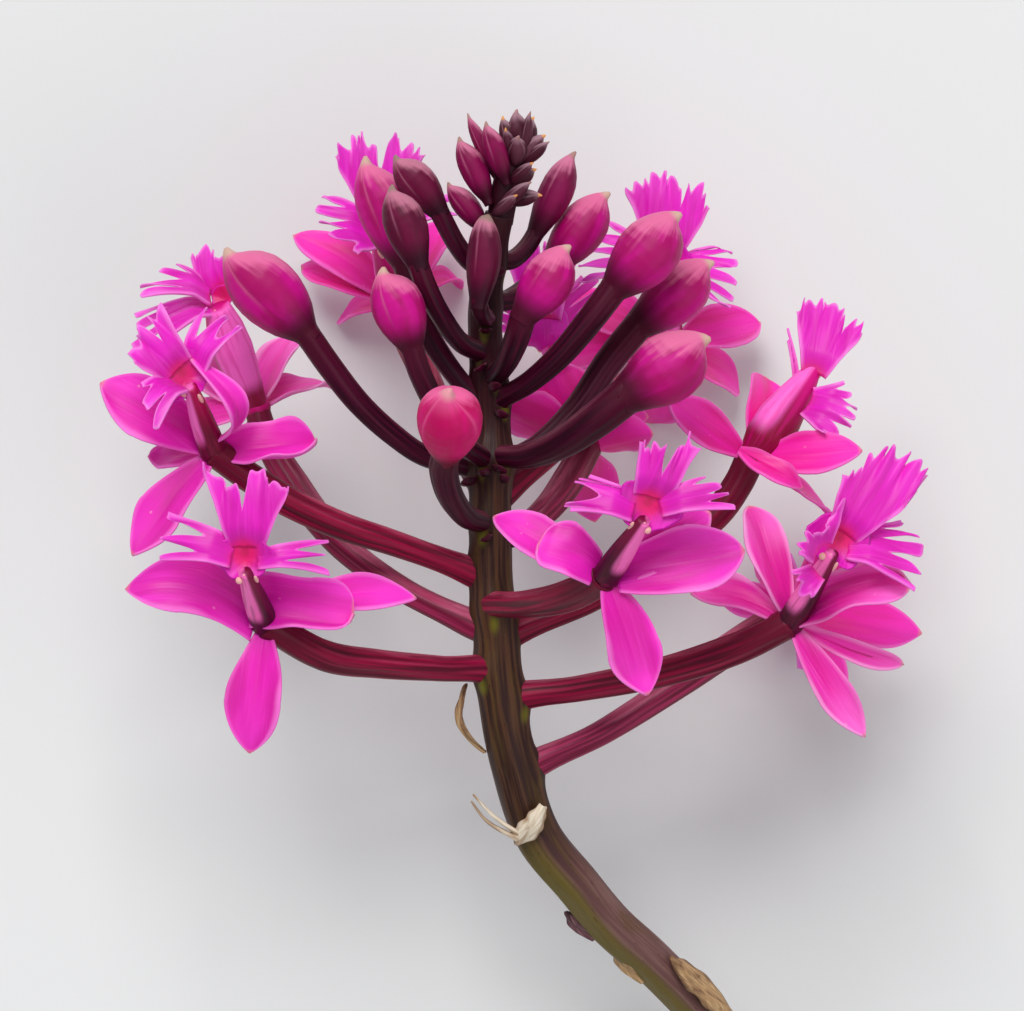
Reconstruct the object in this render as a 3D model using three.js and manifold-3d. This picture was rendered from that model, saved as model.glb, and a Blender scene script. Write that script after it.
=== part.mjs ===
// The cut flowering spike of an epidendrum orchid, lying on a surface with its best flowers up.
// Millimetres, +Z up, the spike's tip towards +Y. Points are measured from a spot beside the middle
// of the stem, and CENTRE then puts the origin under the middle of the whole spike.
import * as THREE from "three";
import { mergeVertices } from "three/addons/utils/BufferGeometryUtils.js";
import Module from "manifold-3d";

const wasm = await Module();
wasm.setup();

// Driving dimensions
const CENTRE = [-1.48, 3.59, -0.45];
const BLADE_THICKNESS = 0.66;
const TEPAL_ROOT = 0.34; // share of the width that a tepal keeps at its root
const TEPAL_TIP = 0.1; // and at its tip
const TEPAL_SEAT = 1.1; // how far from the middle of the hub a tepal starts
const HUB_RADIUS = 1.6; // where tepals and column meet the ovary
const COLUMN_RADII = [1.5, 1.2, 1.6];
const COLUMN_LIP = 0.07; // how far the column runs past the tube's mouth, as a share of its length
const LIP_CLAW_WIDTH = 1.8;
const LIP_SEAT = 0.7; // how far from the middle of the tube's mouth a lobe starts
const LOBE_SHOULDER = [0.34, 0.36]; // where a lobe starts to fan out, as shares of its width and length
const LOBE_ROUNDING = 0.22; // how much shorter than its middle a lobe's corners are
const LOBE_RIPPLE = { height: 0.25, turns: 7 };
const FRINGE_DEPTH = 0.2; // share of a lip lobe's length
const NOTCH_SHARPNESS = 30;
const OVARY_RADIUS = 1.65;
const OVARY_FLUTE = 0.16; // share of the radius
const STALK_RADIUS = 1.3;
const BUD_PROFILE = [0.4, 0.74, 0.96, 0.99, 0.7, 0.14]; // shares of a bud's greatest radius
const BUD_STALK_RADIUS = 1;
const BUD_STALK_SWELL = [0, 0.3, 0.7, 0.95, 1]; // how far a stalk has swollen to its radius at the bud
const STRAND_RADIUS = 0.3;
const SEAT_GAP = 0.3; // clearance between pieces that touch
const HUB_CLEARANCE = 0.4;

// Corners round a section and steps along the path of each swept shape
const STEM_FACETS = [8, 22];
const COLUMN_FACETS = [6, 2];
const PEDICEL_FACETS = [8, 4];
const BUD_FACETS = [8, 5];
const TINY_BUD_FACETS = [5, 3];
const BUD_STALK_FACETS = [5, 4];
const TIP_FACETS = [6, 3];
const STRAND_FACETS = [5, 4];

const PETAL_PINK = 0xe0119f;
const BUD_PURPLE = 0x9c1470;
const STALK_MAROON = 0x4c1024;
const STEM_BROWN = 0x4a3328;
const BRACT_TAN = 0xb99a78;

// The stem: a smooth path from the tip to the plainly cut end, with its radius at even steps
const STEM_PATH = [
  [0, 38.5, 35], [-1.0, 34, 34], [-1.5, 28.5, 33],
  [-1.0, 22, 32], [-0.8, 17, 32], [-1.0, 12, 32], [-0.9, 6, 32], [-0.8, 1, 31.8],
  [-0.3, -4.5, 31.5], [0.3, -10.6, 31], [1.4, -16.2, 30], [3.8, -23.5, 27.5], [7.7, -28.5, 24.5],
  [11.1, -32.6, 21], [14.8, -36, 17.5], [19.8, -41.1, 12.5], [27, -48.5, 5.8], [33, -54.5, 2.4],
];
const STEM_RADII = [1.45, 1.55, 1.75, 2.0, 2.1, 2.25, 2.35, 2.35, 2.3, 2.25, 2.2, 2.2, 2.2, 2.2];

// Each flower: the top of its ovary, the mouth of its lip tube, the way it faces, and, if they differ
// from the others', the way its lip faces and the radii of its tube. Its sepals and petals are [tip,
// width, bow, cup, roll] and its lip lobes [middle of the fringe, width, teeth, bow, notch]. The stalk's
// path runs from the stem to just below the flower.
const FLOWERS = [
  {
    base: [-23.2, -2.2, 46], mouth: [-25.2, 3.3, 53.5], front: [-0.12, 0.25, 0.95],
    tepals: [
      [[-24.8, -15.1, 45.5], 5.6, 0.8, 0.25, 0],
      [[-37.1, 1.2, 46], 5.8, 1.0, 0.2, -12],
      [[-33.8, 3, 43], 4.4, 0.6, 0.2, 10],
      [[-14.4, -1.3, 47], 5.8, 1.2, 0.3, 8],
      [[-8.2, 0.4, 42.6], 3.8, 0.8, 0.3, 0],
    ],
    lobes: [
      [[-25.2, 12.6, 54.4], 9.0, 7, 0.5, 0.34],
      [[-33.2, 6.2, 52.6], 5.8, 4, 0.9, 0], [[-17.0, 4.6, 52.6], 5.6, 4, 0.9, 0],
    ],
    stalk: [[-0.6, -7.2, 31.5], [-6, -6.8, 35], [-12, -6.3, 39], [-17.5, -5.4, 43]],
  },
  {
    base: [-28.4, 14.8, 38], mouth: [-30.4, 21.5, 44], front: [-0.3, 0.4, 0.85],
    tepals: [
      [[-36.5, 4.4, 38], 5, 0.6, 0.3, 0],
      [[-39.8, 21.6, 38.5], 6.2, 0.8, 0.2, 0],
      [[-34.6, 14, 33], 3.4, 0.6, 0.3, 0],
      [[-18.3, 15.8, 37], 5.2, 1.4, 0.4, 0],
      [[-31.2, 24.2, 43.5], 2.8, 5.2, 0.3, 60],
    ],
    lobes: [
      [[-35.8, 27.2, 45.2], 8, 7, 0.6, 0.3],
      [[-34.8, 18.8, 47.5], 4.6, 4, 0.8, 0], [[-27, 28, 43.6], 4.6, 4, 0.8, 0],
    ],
    stalk: [[-2.8, 2.8, 32], [-10, 5.5, 33.8], [-16, 7.5, 35.4], [-21, 9.8, 36.8], [-25, 12.3, 37.6]],
  },
  {
    base: [-24.4, 19.2, 24], mouth: [-27.6, 29.4, 29], front: [-0.5, 0.6, 0.5], tube: [1.2, 2, 1.5],
    tepals: [
      [[-20.3, 27, 17], 5.4, 0.5, 0.3, 0],
      [[-16, 21.6, 17.5], 5.4, 0.8, 0.3, 0],
      [[-25, 14, 13.5], 5.6, 0.5, 0.2, 0],
      [[-34, 16.4, 18.5], 5.4, 0.6, 0.3, 0],
      [[-31, 25, 15.5], 5.6, 0.6, 0.3, 0],
    ],
    lobes: [
      [[-28.6, 36.2, 26], 7, 7, 0.4, 0.3],
      [[-35.4, 31.2, 30.5], 5, 4, 0.6, 0], [[-36.2, 26.2, 29], 4.8, 4, 0.6, 0],
    ],
    stalk: [[-3.2, -2.2, 31], [-10, 1.2, 29.8], [-16, 5.6, 27.6], [-21, 12, 25.4], [-23.6, 16.6, 24.4]],
  },
  {
    base: [-10.5, 30, 10.5], mouth: [-11.7, 36.4, 17.5], front: [-0.25, 0.6, 0.75],
    tepals: [
      [[-21, 36.7, 6.5], 4.4, 0.8, 0.25, 0],
      [[-20.2, 33.6, 4.5], 3.2, 0.8, 0.4, 10],
      [[-16.3, 28, 0.6], 3.2, 0.8, 0.3, 0],
      [[-3.8, 32.4, 0.65], 3.6, 0.8, 0.3, 0],
      [[-4.8, 38.2, 4.6], 4.6, 0.8, 0.3, 0],
    ],
    lobes: [
      [[-11.9, 46.4, 18.3], 9.8, 7, 0.4, 0.34],
      [[-18.6, 38.6, 17.9], 5.2, 4, 0.7, 0], [[-4.8, 39.6, 17.9], 4.8, 4, 0.7, 0],
    ],
    stalk: [[-1.8, 11.6, 31], [-5.2, 17.6, 26.6], [-8, 23.6, 20], [-9.6, 27.4, 14]],
  },
  {
    base: [17.2, 25.5, 10.2], mouth: [16.4, 32.8, 16.7], front: [0.15, 0.55, 0.8],
    tepals: [
      [[26.4, 27.9, 4.3], 5.4, 0.8, 0.3, 0],
      [[24.4, 21, 2.9], 5, 0.6, 0.3, 0],
      [[6.4, 31, 3.5], 5.6, 0.4, 0.2, 0],
      [[6.2, 24, 4.3], 5.2, 0.8, 0.25, 0],
      [[15.4, 17.6, 0.7], 5.6, 0.8, 0.3, 0],
    ],
    lobes: [
      [[17.6, 42.6, 17.7], 10, 7, 0.4, 0.34],
      [[8.8, 34.8, 17.1], 5.8, 4, 0.7, 0], [[23.8, 31.6, 17.1], 5.8, 4, 0.7, 0],
    ],
    stalk: [[0, 10.4, 30.6], [4.6, 14.4, 27.8], [10, 19.2, 23], [14.6, 22.8, 15]],
  },
  {
    base: [8.7, 15.3, 20], mouth: [4.4, 26.2, 17], front: [-0.1, 0.5, -0.85],
    tepals: [
      [[4.8, 24, 22.6], 6, 0.4, 0.2, 0],
      [[0.2, 19.4, 23.4], 5.4, 0.6, 0.3, 0],
      [[14.6, 18.6, 12.6], 5.2, 0.6, 0.3, 0],
      [[15.4, 16.6, 20.4], 4.4, 0.4, 0.4, 0],
      [[9.6, 7.6, 12.2], 5.6, 0.8, 0.3, 0],
    ],
    lobes: [
      [[4.2, 36.8, 17.4], 7, 7, 0.3, 0.3],
      [[-3.4, 30.2, 14.6], 4.8, 4, 0.5, 0], [[10.2, 31.8, 13.4], 4.4, 4, 0.5, 0],
    ],
    stalk: [[0.9, 7, 31], [2.6, 7.4, 28.4], [4.8, 9.2, 25.6], [7, 12.2, 22.6]],
  },
  {
    base: [25, 14.1, 30], mouth: [32, 23.8, 28], front: [0.55, 0.7, 0.2], lipFront: [0.1, 0.3, 0.95],
    tube: [1.5, 2.2, 1.5],
    tepals: [
      [[16.5, 20.1, 33.4], 4.2, 0.4, 0.3, -60],
      [[27.6, 22, 24.6], 5.2, 0.6, 0.3, 0],
      [[36.1, 15, 33], 4.6, 0.8, 0.3, 65],
      [[29.8, 11.6, 36], 3.6, 0.8, 0.4, 55],
      [[34, 7.8, 24.6], 3.8, 0.4, 0.2, 0],
    ],
    lobes: [
      [[33, 30.4, 26.6], 7.6, 7, 0.3, 0.3],
      [[28.6, 26.4, 26], 2.4, 2, 0.4, 0], [[34.4, 18.4, 31.6], 5.8, 4, 0.4, 0],
    ],
    stalk: [[1.4, -3.2, 31], [9, 0, 30.2], [16, 4.6, 30], [21.4, 8.4, 30], [23.8, 11.6, 30]],
  },
  {
    base: [10.4, 2.5, 50], mouth: [14.3, 8.3, 56.2], front: [0.25, 0.28, 0.92],
    tepals: [
      [[14.3, -9.3, 48.6], 5.6, 0.8, 0.25, 0],
      [[-0.6, 8.7, 47], 4.8, 0.8, 0.35, 10],
      [[3.7, 5.6, 50.4], 5.4, 1.0, 0.2, 0],
      [[24.2, 5, 49.6], 6.6, 0.8, 0.25, 0],
      [[20.8, 8.6, 48], 5.6, 0.6, 0.25, 0],
    ],
    lobes: [
      [[16.6, 16.4, 57.2], 8, 7, 0.5, 0.34],
      [[7.2, 11.2, 56], 5.2, 4, 0.8, 0], [[21.9, 10.6, 55.6], 5.4, 4, 0.8, 0],
    ],
    stalk: [[-1.3, -0.8, 32], [2.4, -0.4, 38], [5.8, 0.2, 43.4], [8.6, 1.3, 47.4]],
  },
  {
    base: [28.8, -2.2, 38], mouth: [33, 5, 43.6], front: [0.35, 0.45, 0.82],
    tepals: [
      [[25.1, 9.6, 36.4], 4.4, 0.8, 0.3, 0],
      [[19.1, 0.3, 33.6], 4, 1.2, 0.4, 0],
      [[36.3, -13.6, 37.4], 3.6, 0.8, 0.4, 20],
      [[40.1, -6.4, 34], 2.2, 0.8, 0.5, 30],
      [[40.5, 2, 41.4], 5.4, 0.8, 0.3, -12],
    ],
    lobes: [
      [[38.6, 14.6, 43.2], 10, 7, 0.5, 0],
      [[30, 8, 47.4], 3.8, 4, 0.5, 0], [[41.6, 3.6, 41.4], 6, 4, 0.7, 0],
    ],
    stalk: [[1, -10, 31], [8, -8.8, 33], [16, -7.2, 35.4], [24, -4.6, 37.2]],
  },
  {
    base: [29.6, -1, 18.6], mouth: [30.2, -1.2, 8.4], front: [0.1, 0.05, -0.99],
    tepals: [
      [[25.8, 6.6, 11.6], 3.8, 0.6, 0.3, 0],
      [[21.6, 0.4, 11.6], 3.6, 0.6, 0.3, 0],
      [[34.8, -10.4, 13.4], 3.8, 0.6, 0.3, 0],
      [[42.8, -3.6, 14.4], 4.8, 0.6, 0.3, 0],
      [[37.2, 8.6, 13.4], 5.2, 0.6, 0.3, 0],
    ],
    lobes: [
      [[36.4, 2.6, 0.6], 8, 7, 0.3, 0.3],
      [[26.4, 4, 1.2], 4.8, 4, 0.5, 0], [[33.6, -7.6, 1.2], 4.8, 4, 0.5, 0],
    ],
    stalk: [[2.6, -17, 29.8], [10, -13.4, 27.4], [18, -8.4, 24], [26, -3, 20]],
  },
];

// Each large bud: its base, its tip, its greatest radius, its stalk's radius where it joins the bud, and
// its stalk's path up from the stem
const BUDS = [
  {
    base: [-19.2, 26.5, 39], tip: [-27.5, 34.8, 40], radius: 3.3, foot: 1.35,
    stalk: [[-2.4, 13, 32], [-7.5, 14.4, 34], [-10.5, 16.4, 35.6], [-14, 19.6, 37.2], [-17, 23.4, 38.4]],
  },
  {
    base: [-9.5, 33.6, 33], tip: [-13.7, 44.2, 33.6], radius: 2.7, foot: 1.3,
    stalk: [[-2.8, 20.6, 32.2], [-5.6, 24, 32.6], [-7.6, 27.4, 32.8], [-8.8, 31, 33]],
  },
  {
    base: [-8.2, 33.6, 42], tip: [-10.9, 41.2, 42.6], radius: 2.1, foot: 1.1,
    stalk: [[-1.6, 24.4, 33], [-4, 25.8, 36.4], [-6, 28.6, 39.6], [-7.4, 31.4, 41.4]],
  },
  {
    base: [-6.2, 38.9, 36.4], tip: [-10.6, 44.2, 37.2], radius: 1.9, foot: 1.0,
    stalk: [[-1.2, 32.6, 34], [-3, 33.8, 35], [-4.4, 35.6, 35.9]],
  },
  {
    base: [-8.8, 25.3, 42], tip: [-11.8, 33, 43], radius: 2.6, foot: 1.2,
    stalk: [[-1.2, 13.6, 33], [-4.2, 16, 38], [-6.4, 19.4, 40.6], [-8, 22.8, 41.7]],
  },
  {
    base: [-5.3, 14.6, 43.4], tip: [-5.2, 19.4, 52.6], radius: 3.2, foot: 1.5,
    stalk: [[-1, 7.4, 32.6], [-3.4, 8.4, 36.4], [-5, 10.6, 39.4], [-5.6, 13.2, 41.8]],
  },
  {
    base: [-2.1, 29.8, 39.2], tip: [-1.3, 38.4, 39.8], radius: 1.7, foot: 0.9,
    stalk: [[-1.4, 28, 33], [-1.5, 28.2, 36.2], [-1.9, 28.8, 38.2]],
  },
  {
    base: [3.6, 36.8, 31], tip: [7.4, 44.9, 31], radius: 1.7, foot: 0.9,
    stalk: [[-0.9, 33.6, 33.6], [1.2, 34, 32.2], [2.6, 35.2, 31.3]],
  },
  {
    base: [5.2, 33.6, 29.4], tip: [10.8, 40.9, 29.4], radius: 2.4, foot: 1.15,
    stalk: [[-1.2, 29.6, 32.6], [0.8, 30, 30.8], [3.2, 31.6, 29.6]],
  },
  {
    base: [2.4, 28.4, 40.6], tip: [6.8, 35.4, 41], radius: 2.5, foot: 1.35,
    stalk: [[-0.8, 22, 33], [0.4, 23.4, 36.4], [1.6, 25.9, 39.4]],
  },
  {
    base: [11.4, 31.1, 38], tip: [17.8, 38.7, 38.4], radius: 3.1, foot: 1.5,
    stalk: [[-0.4, 19.6, 32.6], [3, 21.8, 35], [6, 24.4, 36.8], [9.2, 28.2, 37.8]],
  },
  {
    base: [14, 27.6, 31], tip: [21.2, 34, 31], radius: 2.8, foot: 1.6,
    stalk: [[-0.6, 13, 31.6], [4, 15.6, 31.6], [7.7, 19.2, 31.3], [11, 24, 31]],
  },
  {
    base: [12.6, 20.4, 42], tip: [20.7, 26.3, 42], radius: 3.4, foot: 1.95,
    stalk: [[-0.6, 14.2, 33], [2.8, 14.4, 35.8], [6, 15.6, 38.4], [9.6, 18, 41]],
  },
];

// Small stalkless buds at the stem's tip: base beside the stem, tip, radius
const SMALL_BUDS = [
  [[-1.4, 40.2, 36.4], [-4.2, 46.1, 37], 1.35],
  [[-1.9, 37.4, 35], [-5.3, 41.6, 34.6], 1.25],
  [[-0.5, 42.4, 35.8], [-3.3, 48.5, 36.2], 0.75],
  [[0.4, 42.2, 37.7], [-1.5, 47.6, 39.2], 1.1],
];

// The growing tip above the stem, and the tiny buds and bracts crowded round it: base, tip, radius
const TIP_PATH = [[0.2, 39.1, 35.1], [0.8, 42.3, 36], [1.7, 45.4, 36.4]];
const TIP_RADII = [1.25, 1.2, 0.8];
const TIP_CROWD = [
  [[1.4, 44.4, 36.4], [0.2, 48.2, 36.8], 0.9],
  [[1.8, 44.8, 36.6], [1.6, 48.9, 37.2], 1],
  [[2, 44.6, 36.4], [3.3, 48.2, 36.2], 1],
  [[1.6, 43.8, 36.6], [4.5, 46.4, 37], 0.95],
  [[1.4, 43.6, 36.8], [1.8, 46.2, 39.2], 0.95],
  [[1.4, 43.4, 35.6], [2.4, 46.2, 33.4], 0.9],
  [[1, 41.4, 36.2], [3.6, 43, 37.6], 0.8],
  [[0.6, 40, 35.4], [4.2, 40.4, 36.6], 0.85],
];

// Dried bracts: root, tip, way they face, form as [width, bow, cup], and loose strands of the papery one
const BRACTS = {
  stem: {
    root: [4.4, -20.6, 31.6], tip: [1.6, -24.4, 30.4], facing: [0.5, 0, 0.87], form: [2.4, 0.5, -0.3],
    strands: [
      [[2.1, -23.5, 31], [-0.6, -21.6, 31.8], [-2.7, -19.4, 32.2]],
      [[1.8, -23.9, 30.9], [-1.3, -22.1, 31], [-2.9, -20.1, 31.2]],
    ],
  },
  hanging: {
    root: [-1.5, -15.2, 30.4], tip: [-3.4, -8.4, 31], facing: [-0.9, 0, 0.4], form: [1.2, 1.6, 0.2],
  },
  mauve: {
    root: [9.3, -34.2, 21], tip: [6.6, -31.4, 23], facing: [-0.5, -0.5, 0.7], form: [1.6, 0.3, -0.3],
  },
  lower: {
    root: [14.2, -38.6, 17.2], tip: [11.4, -35.2, 19.8], facing: [-0.5, -0.5, 0.7], form: [1.8, 0.3, -0.3],
  },
  sheath: {
    root: [24, -42.8, 12.2], tip: [17.2, -36, 19.2], facing: [0.45, 0.45, 0.77], form: [3, 0.3, -0.3],
  },
};

const point = (xyz) => new THREE.Vector3(...xyz);

// Value at share t along a list of values at even steps
function along(values, t) {
  const at = t * (values.length - 1);
  const low = Math.min(Math.floor(at), values.length - 2);
  return values[low] + (values[low + 1] - values[low]) * (at - low);
}

function closedGeometry(positions, index) {
  const geometry = new THREE.BufferGeometry();
  geometry.setAttribute("position", new THREE.Float32BufferAttribute(positions, 3));
  geometry.setIndex(index);
  return geometry;
}

// A closed tube along a smooth path. A fluted one has every second corner of its section drawn in.
function sweep(path, radii, [sides, steps], flute = 0) {
  const curve = new THREE.CatmullRomCurve3(path.map(point), false, "centripetal");
  const { normals, binormals } = curve.computeFrenetFrames(steps, false);
  const positions = [];
  const index = [];
  for (let ring = 0; ring <= steps; ring++) {
    const centre = curve.getPointAt(ring / steps);
    for (let side = 0; side < sides; side++) {
      const angle = (2 * Math.PI * side) / sides;
      const radius = along(radii, ring / steps) * (1 - flute * (side % 2));
      const corner = centre.clone().addScaledVector(normals[ring], radius * Math.cos(angle));
      positions.push(...corner.addScaledVector(binormals[ring], radius * Math.sin(angle)));
    }
  }
  const rings = steps * sides;
  for (let start = 0; start < rings; start += sides) {
    for (let side = 0; side < sides; side++) {
      const next = (side + 1) % sides;
      const [a, b] = [start + side, start + next];
      index.push(a, b, b + sides, a, b + sides, a + sides);
    }
  }
  const first = rings + sides;
  positions.push(...curve.getPointAt(0), ...curve.getPointAt(1));
  for (let side = 0; side < sides; side++) {
    const next = (side + 1) % sides;
    index.push(first, next, side, first + 1, rings + side, rings + next);
  }
  return closedGeometry(positions, index);
}

// The frame of a blade: along it, out of its face, and across it
function bladeFrame(root, tip, front, roll) {
  const length = root.distanceTo(tip);
  const axis = tip.clone().sub(root).normalize();
  const normal = front.clone().addScaledVector(axis, -front.dot(axis)).normalize();
  normal.applyAxisAngle(axis, THREE.MathUtils.degToRad(roll));
  return { length, axis, normal, side: axis.clone().cross(normal) };
}

// Half width of a tepal, as a share of its greatest, at share t of its length
function tepalOutline(t) {
  const widest = 0.6;
  if (t < widest) {
    return TEPAL_ROOT + (1 - TEPAL_ROOT) * Math.sin((Math.PI / 2) * (t / widest));
  }
  return Math.max(TEPAL_TIP, Math.sqrt(1 - ((t - widest) / (1 - widest)) ** 2.1));
}

// A sepal, petal or bract: a thin arched and cupped sheet, the same on both faces
function blade(rootAt, tipAt, facing, form, { spare = 0, rows = 4, columns = 4 } = {}) {
  const [width, bow, cup, roll = 0] = form;
  const [root, tip] = [point(rootAt), point(tipAt)];
  const { length, axis, normal, side } = bladeFrame(root, tip, point(facing), roll);
  const positions = [];
  const thickness = BLADE_THICKNESS + 2 * spare;
  for (const layer of [0.5, -0.5]) {
    for (let row = 0; row <= rows; row++) {
      const t = row / rows;
      const half = (width / 2) * tepalOutline(t) + spare;
      for (let column = 0; column <= columns; column++) {
        const u = (2 * column) / columns - 1;
        const rise = bow * 4 * t * (1 - t) + cup * u * u * half + layer * thickness;
        const at = root.clone().addScaledVector(axis, length * t).addScaledVector(side, u * half);
        positions.push(...at.addScaledVector(normal, rise));
      }
    }
  }
  const wide = columns + 1;
  const under = wide * (rows + 1);
  const index = [];
  for (let row = 0; row < rows; row++) {
    for (let column = 0; column < columns; column++) {
      const a = row * wide + column;
      const [b, c, d] = [a + 1, a + wide, a + wide + 1];
      index.push(a, d, c, a, b, d);
      index.push(a + under, c + under, d + under, a + under, d + under, b + under);
    }
  }
  const rim = [];
  for (let column = 0; column < columns; column++) rim.push(column);
  for (let row = 0; row < rows; row++) rim.push(row * wide + columns);
  for (let column = columns; column > 0; column--) rim.push(rows * wide + column);
  for (let row = rows; row > 0; row--) rim.push(row * wide);
  rim.forEach((a, i) => {
    const b = rim[(i + 1) % rim.length];
    index.push(a, a + under, b + under, a, b + under, b);
  });
  return closedGeometry(positions, index);
}

// A lobe of the lip: a fan from the tube's mouth that ends in a fringe of teeth
function lipLobe(rootAt, tipAt, facing, width, teeth, bow, notch) {
  const [root, tip] = [point(rootAt), point(tipAt)];
  const { length, axis, normal, side } = bladeFrame(root, tip, point(facing), 0);
  const shoulder = [LOBE_SHOULDER[0] * width, LOBE_SHOULDER[1] * length];
  const outline = new THREE.Shape();
  outline.moveTo(LIP_CLAW_WIDTH / 2, LIP_SEAT);
  outline.lineTo(shoulder[0], shoulder[1]);
  for (let corner = 0; corner <= 2 * teeth; corner++) {
    const turn = 1 - corner / teeth;
    const cut = FRINGE_DEPTH * (corner % 2) + notch * Math.exp(-NOTCH_SHARPNESS * turn * turn);
    outline.lineTo((width / 2) * turn, length * (1 - LOBE_ROUNDING * turn * turn - cut));
  }
  outline.lineTo(-shoulder[0], shoulder[1]);
  outline.lineTo(-LIP_CLAW_WIDTH / 2, LIP_SEAT);
  const geometry = new THREE.ExtrudeGeometry(outline, { depth: BLADE_THICKNESS, bevelEnabled: false });
  const flat = geometry.attributes.position;
  for (let i = 0; i < flat.count; i++) {
    const [x, y, z] = [flat.getX(i), flat.getY(i), flat.getZ(i)];
    const t = y / length;
    const ripple = LOBE_RIPPLE.height * Math.sin((LOBE_RIPPLE.turns * x) / width) * t;
    const rise = bow * 4 * t * (1 - t) + ripple;
    const at = root.clone().addScaledVector(axis, y).addScaledVector(side, x);
    at.addScaledVector(normal, z - BLADE_THICKNESS / 2 + rise);
    flat.setXYZ(i, at.x, at.y, at.z);
  }
  return geometry;
}

// A plump bud, pinched near its tip
function budBody(base, tip, radius, facets = BUD_FACETS) {
  const middle = point(base).lerp(point(tip), 0.5).toArray();
  return sweep([base, middle, tip], BUD_PROFILE.map((share) => share * radius), facets);
}

function solid(geometry) {
  geometry.deleteAttribute("normal");
  geometry.deleteAttribute("uv");
  const merged = mergeVertices(geometry, 1e-4);
  const vertProperties = new Float32Array(merged.attributes.position.array);
  const triVerts = new Uint32Array(merged.index.array);
  return new wasm.Manifold(new wasm.Mesh({ numProp: 3, vertProperties, triVerts }));
}

function fuse(geometries) {
  return geometries.map(solid).reduce((whole, next) => whole.add(next));
}

const spike = new THREE.Group();
spike.position.set(...CENTRE);

function add(name, shape, color, roughness) {
  const { vertProperties, triVerts } = shape.getMesh();
  const geometry = closedGeometry(vertProperties, new THREE.BufferAttribute(triVerts, 1));
  const mesh = new THREE.Mesh(geometry, new THREE.MeshStandardMaterial({ color, roughness, metalness: 0 }));
  mesh.name = name;
  spike.add(mesh);
}

function ball(centre, radius) {
  return new THREE.IcosahedronGeometry(radius, 0).translate(...centre);
}

// The point at a distance from one point towards another, or away from it if that is negative
function towards(from, to, distance) {
  return point(from).lerp(point(to), distance / point(from).distanceTo(point(to))).toArray();
}

// The largest body of a shape that a cut may have left in several
function largest(shape) {
  return shape.decompose().reduce((best, next) => (next.volume() > best.volume() ? next : best));
}

const number = (index) => String(index + 1).padStart(2, "0");

// The stem, and the same stem with clearance for what is seated on it
add("rachis", solid(sweep(STEM_PATH, STEM_RADII, STEM_FACETS)), STEM_BROWN, 0.6);
const stemClearance = solid(sweep(STEM_PATH, STEM_RADII.map((radius) => radius + SEAT_GAP), STEM_FACETS));

// Flowers, each fused from its tepals, column and lip, on fluted stalks that widen into the ovary
FLOWERS.forEach((flower, index) => {
  const { base, mouth, front, lipFront = front, tube = COLUMN_RADII, tepals, lobes, stalk } = flower;
  const columnEnd = point(mouth).lerp(point(base), -COLUMN_LIP).toArray();
  const pieces = [ball(base, HUB_RADIUS), sweep([base, columnEnd], tube, COLUMN_FACETS)];
  const columnClearance = tube.map((radius) => radius + SEAT_GAP);
  const cutters = [
    stemClearance,
    solid(ball(base, HUB_RADIUS + HUB_CLEARANCE)),
    solid(sweep([base, columnEnd], columnClearance, COLUMN_FACETS)),
  ];
  for (const [tip, ...form] of tepals) {
    const root = towards(base, tip, TEPAL_SEAT);
    pieces.push(blade(root, tip, front, form));
    cutters.push(solid(blade(root, tip, front, form, { spare: SEAT_GAP })));
  }
  for (const [tip, ...form] of lobes) {
    pieces.push(lipLobe(mouth, tip, lipFront, ...form));
  }
  add(`flower_${number(index)}`, fuse(pieces), PETAL_PINK, 0.45);
  const neck = (STALK_RADIUS + OVARY_RADIUS) / 2;
  const radii = [STALK_RADIUS, STALK_RADIUS, neck, OVARY_RADIUS, OVARY_RADIUS];
  const whole = solid(sweep([...stalk, base], radii, PEDICEL_FACETS, OVARY_FLUTE));
  const seated = cutters.reduce((shape, cutter) => shape.subtract(cutter), whole);
  add(`pedicel_${number(index)}`, largest(seated), STALK_MAROON, 0.5);
});

// Large buds and their stalks
BUDS.forEach(({ base, tip, radius, foot, stalk }, index) => {
  add(`bud_${number(index)}`, solid(budBody(base, tip, radius)), BUD_PURPLE, 0.45);
  const clearance = solid(budBody(towards(base, tip, -SEAT_GAP), tip, radius + SEAT_GAP));
  const radii = BUD_STALK_SWELL.map((share) => BUD_STALK_RADIUS + (foot - BUD_STALK_RADIUS) * share);
  const whole = solid(sweep([...stalk, base], radii, BUD_STALK_FACETS));
  add(`bud_stalk_${number(index)}`, whole.subtract(stemClearance).subtract(clearance), STALK_MAROON, 0.5);
});

SMALL_BUDS.forEach(([base, tip, radius], index) => {
  const bud = solid(budBody(base, tip, radius)).subtract(stemClearance);
  add(`small_bud_${number(index)}`, bud, BUD_PURPLE, 0.5);
});

const crowd = TIP_CROWD.map(([base, tip, radius]) => budBody(base, tip, radius, TINY_BUD_FACETS));
add("tip_cluster", fuse([sweep(TIP_PATH, TIP_RADII, TIP_FACETS), ...crowd]), BUD_PURPLE, 0.6);

for (const [name, { root, tip, facing, form, strands = [] }] of Object.entries(BRACTS)) {
  const pieces = [blade(root, tip, facing, form, { columns: 2 })];
  for (const strand of strands) {
    pieces.push(sweep(strand, [STRAND_RADIUS, STRAND_RADIUS], STRAND_FACETS));
  }
  add(`bract_${name}`, fuse(pieces).subtract(stemClearance), BRACT_TAN, 0.85);
}

export default spike;
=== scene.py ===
import math

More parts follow.
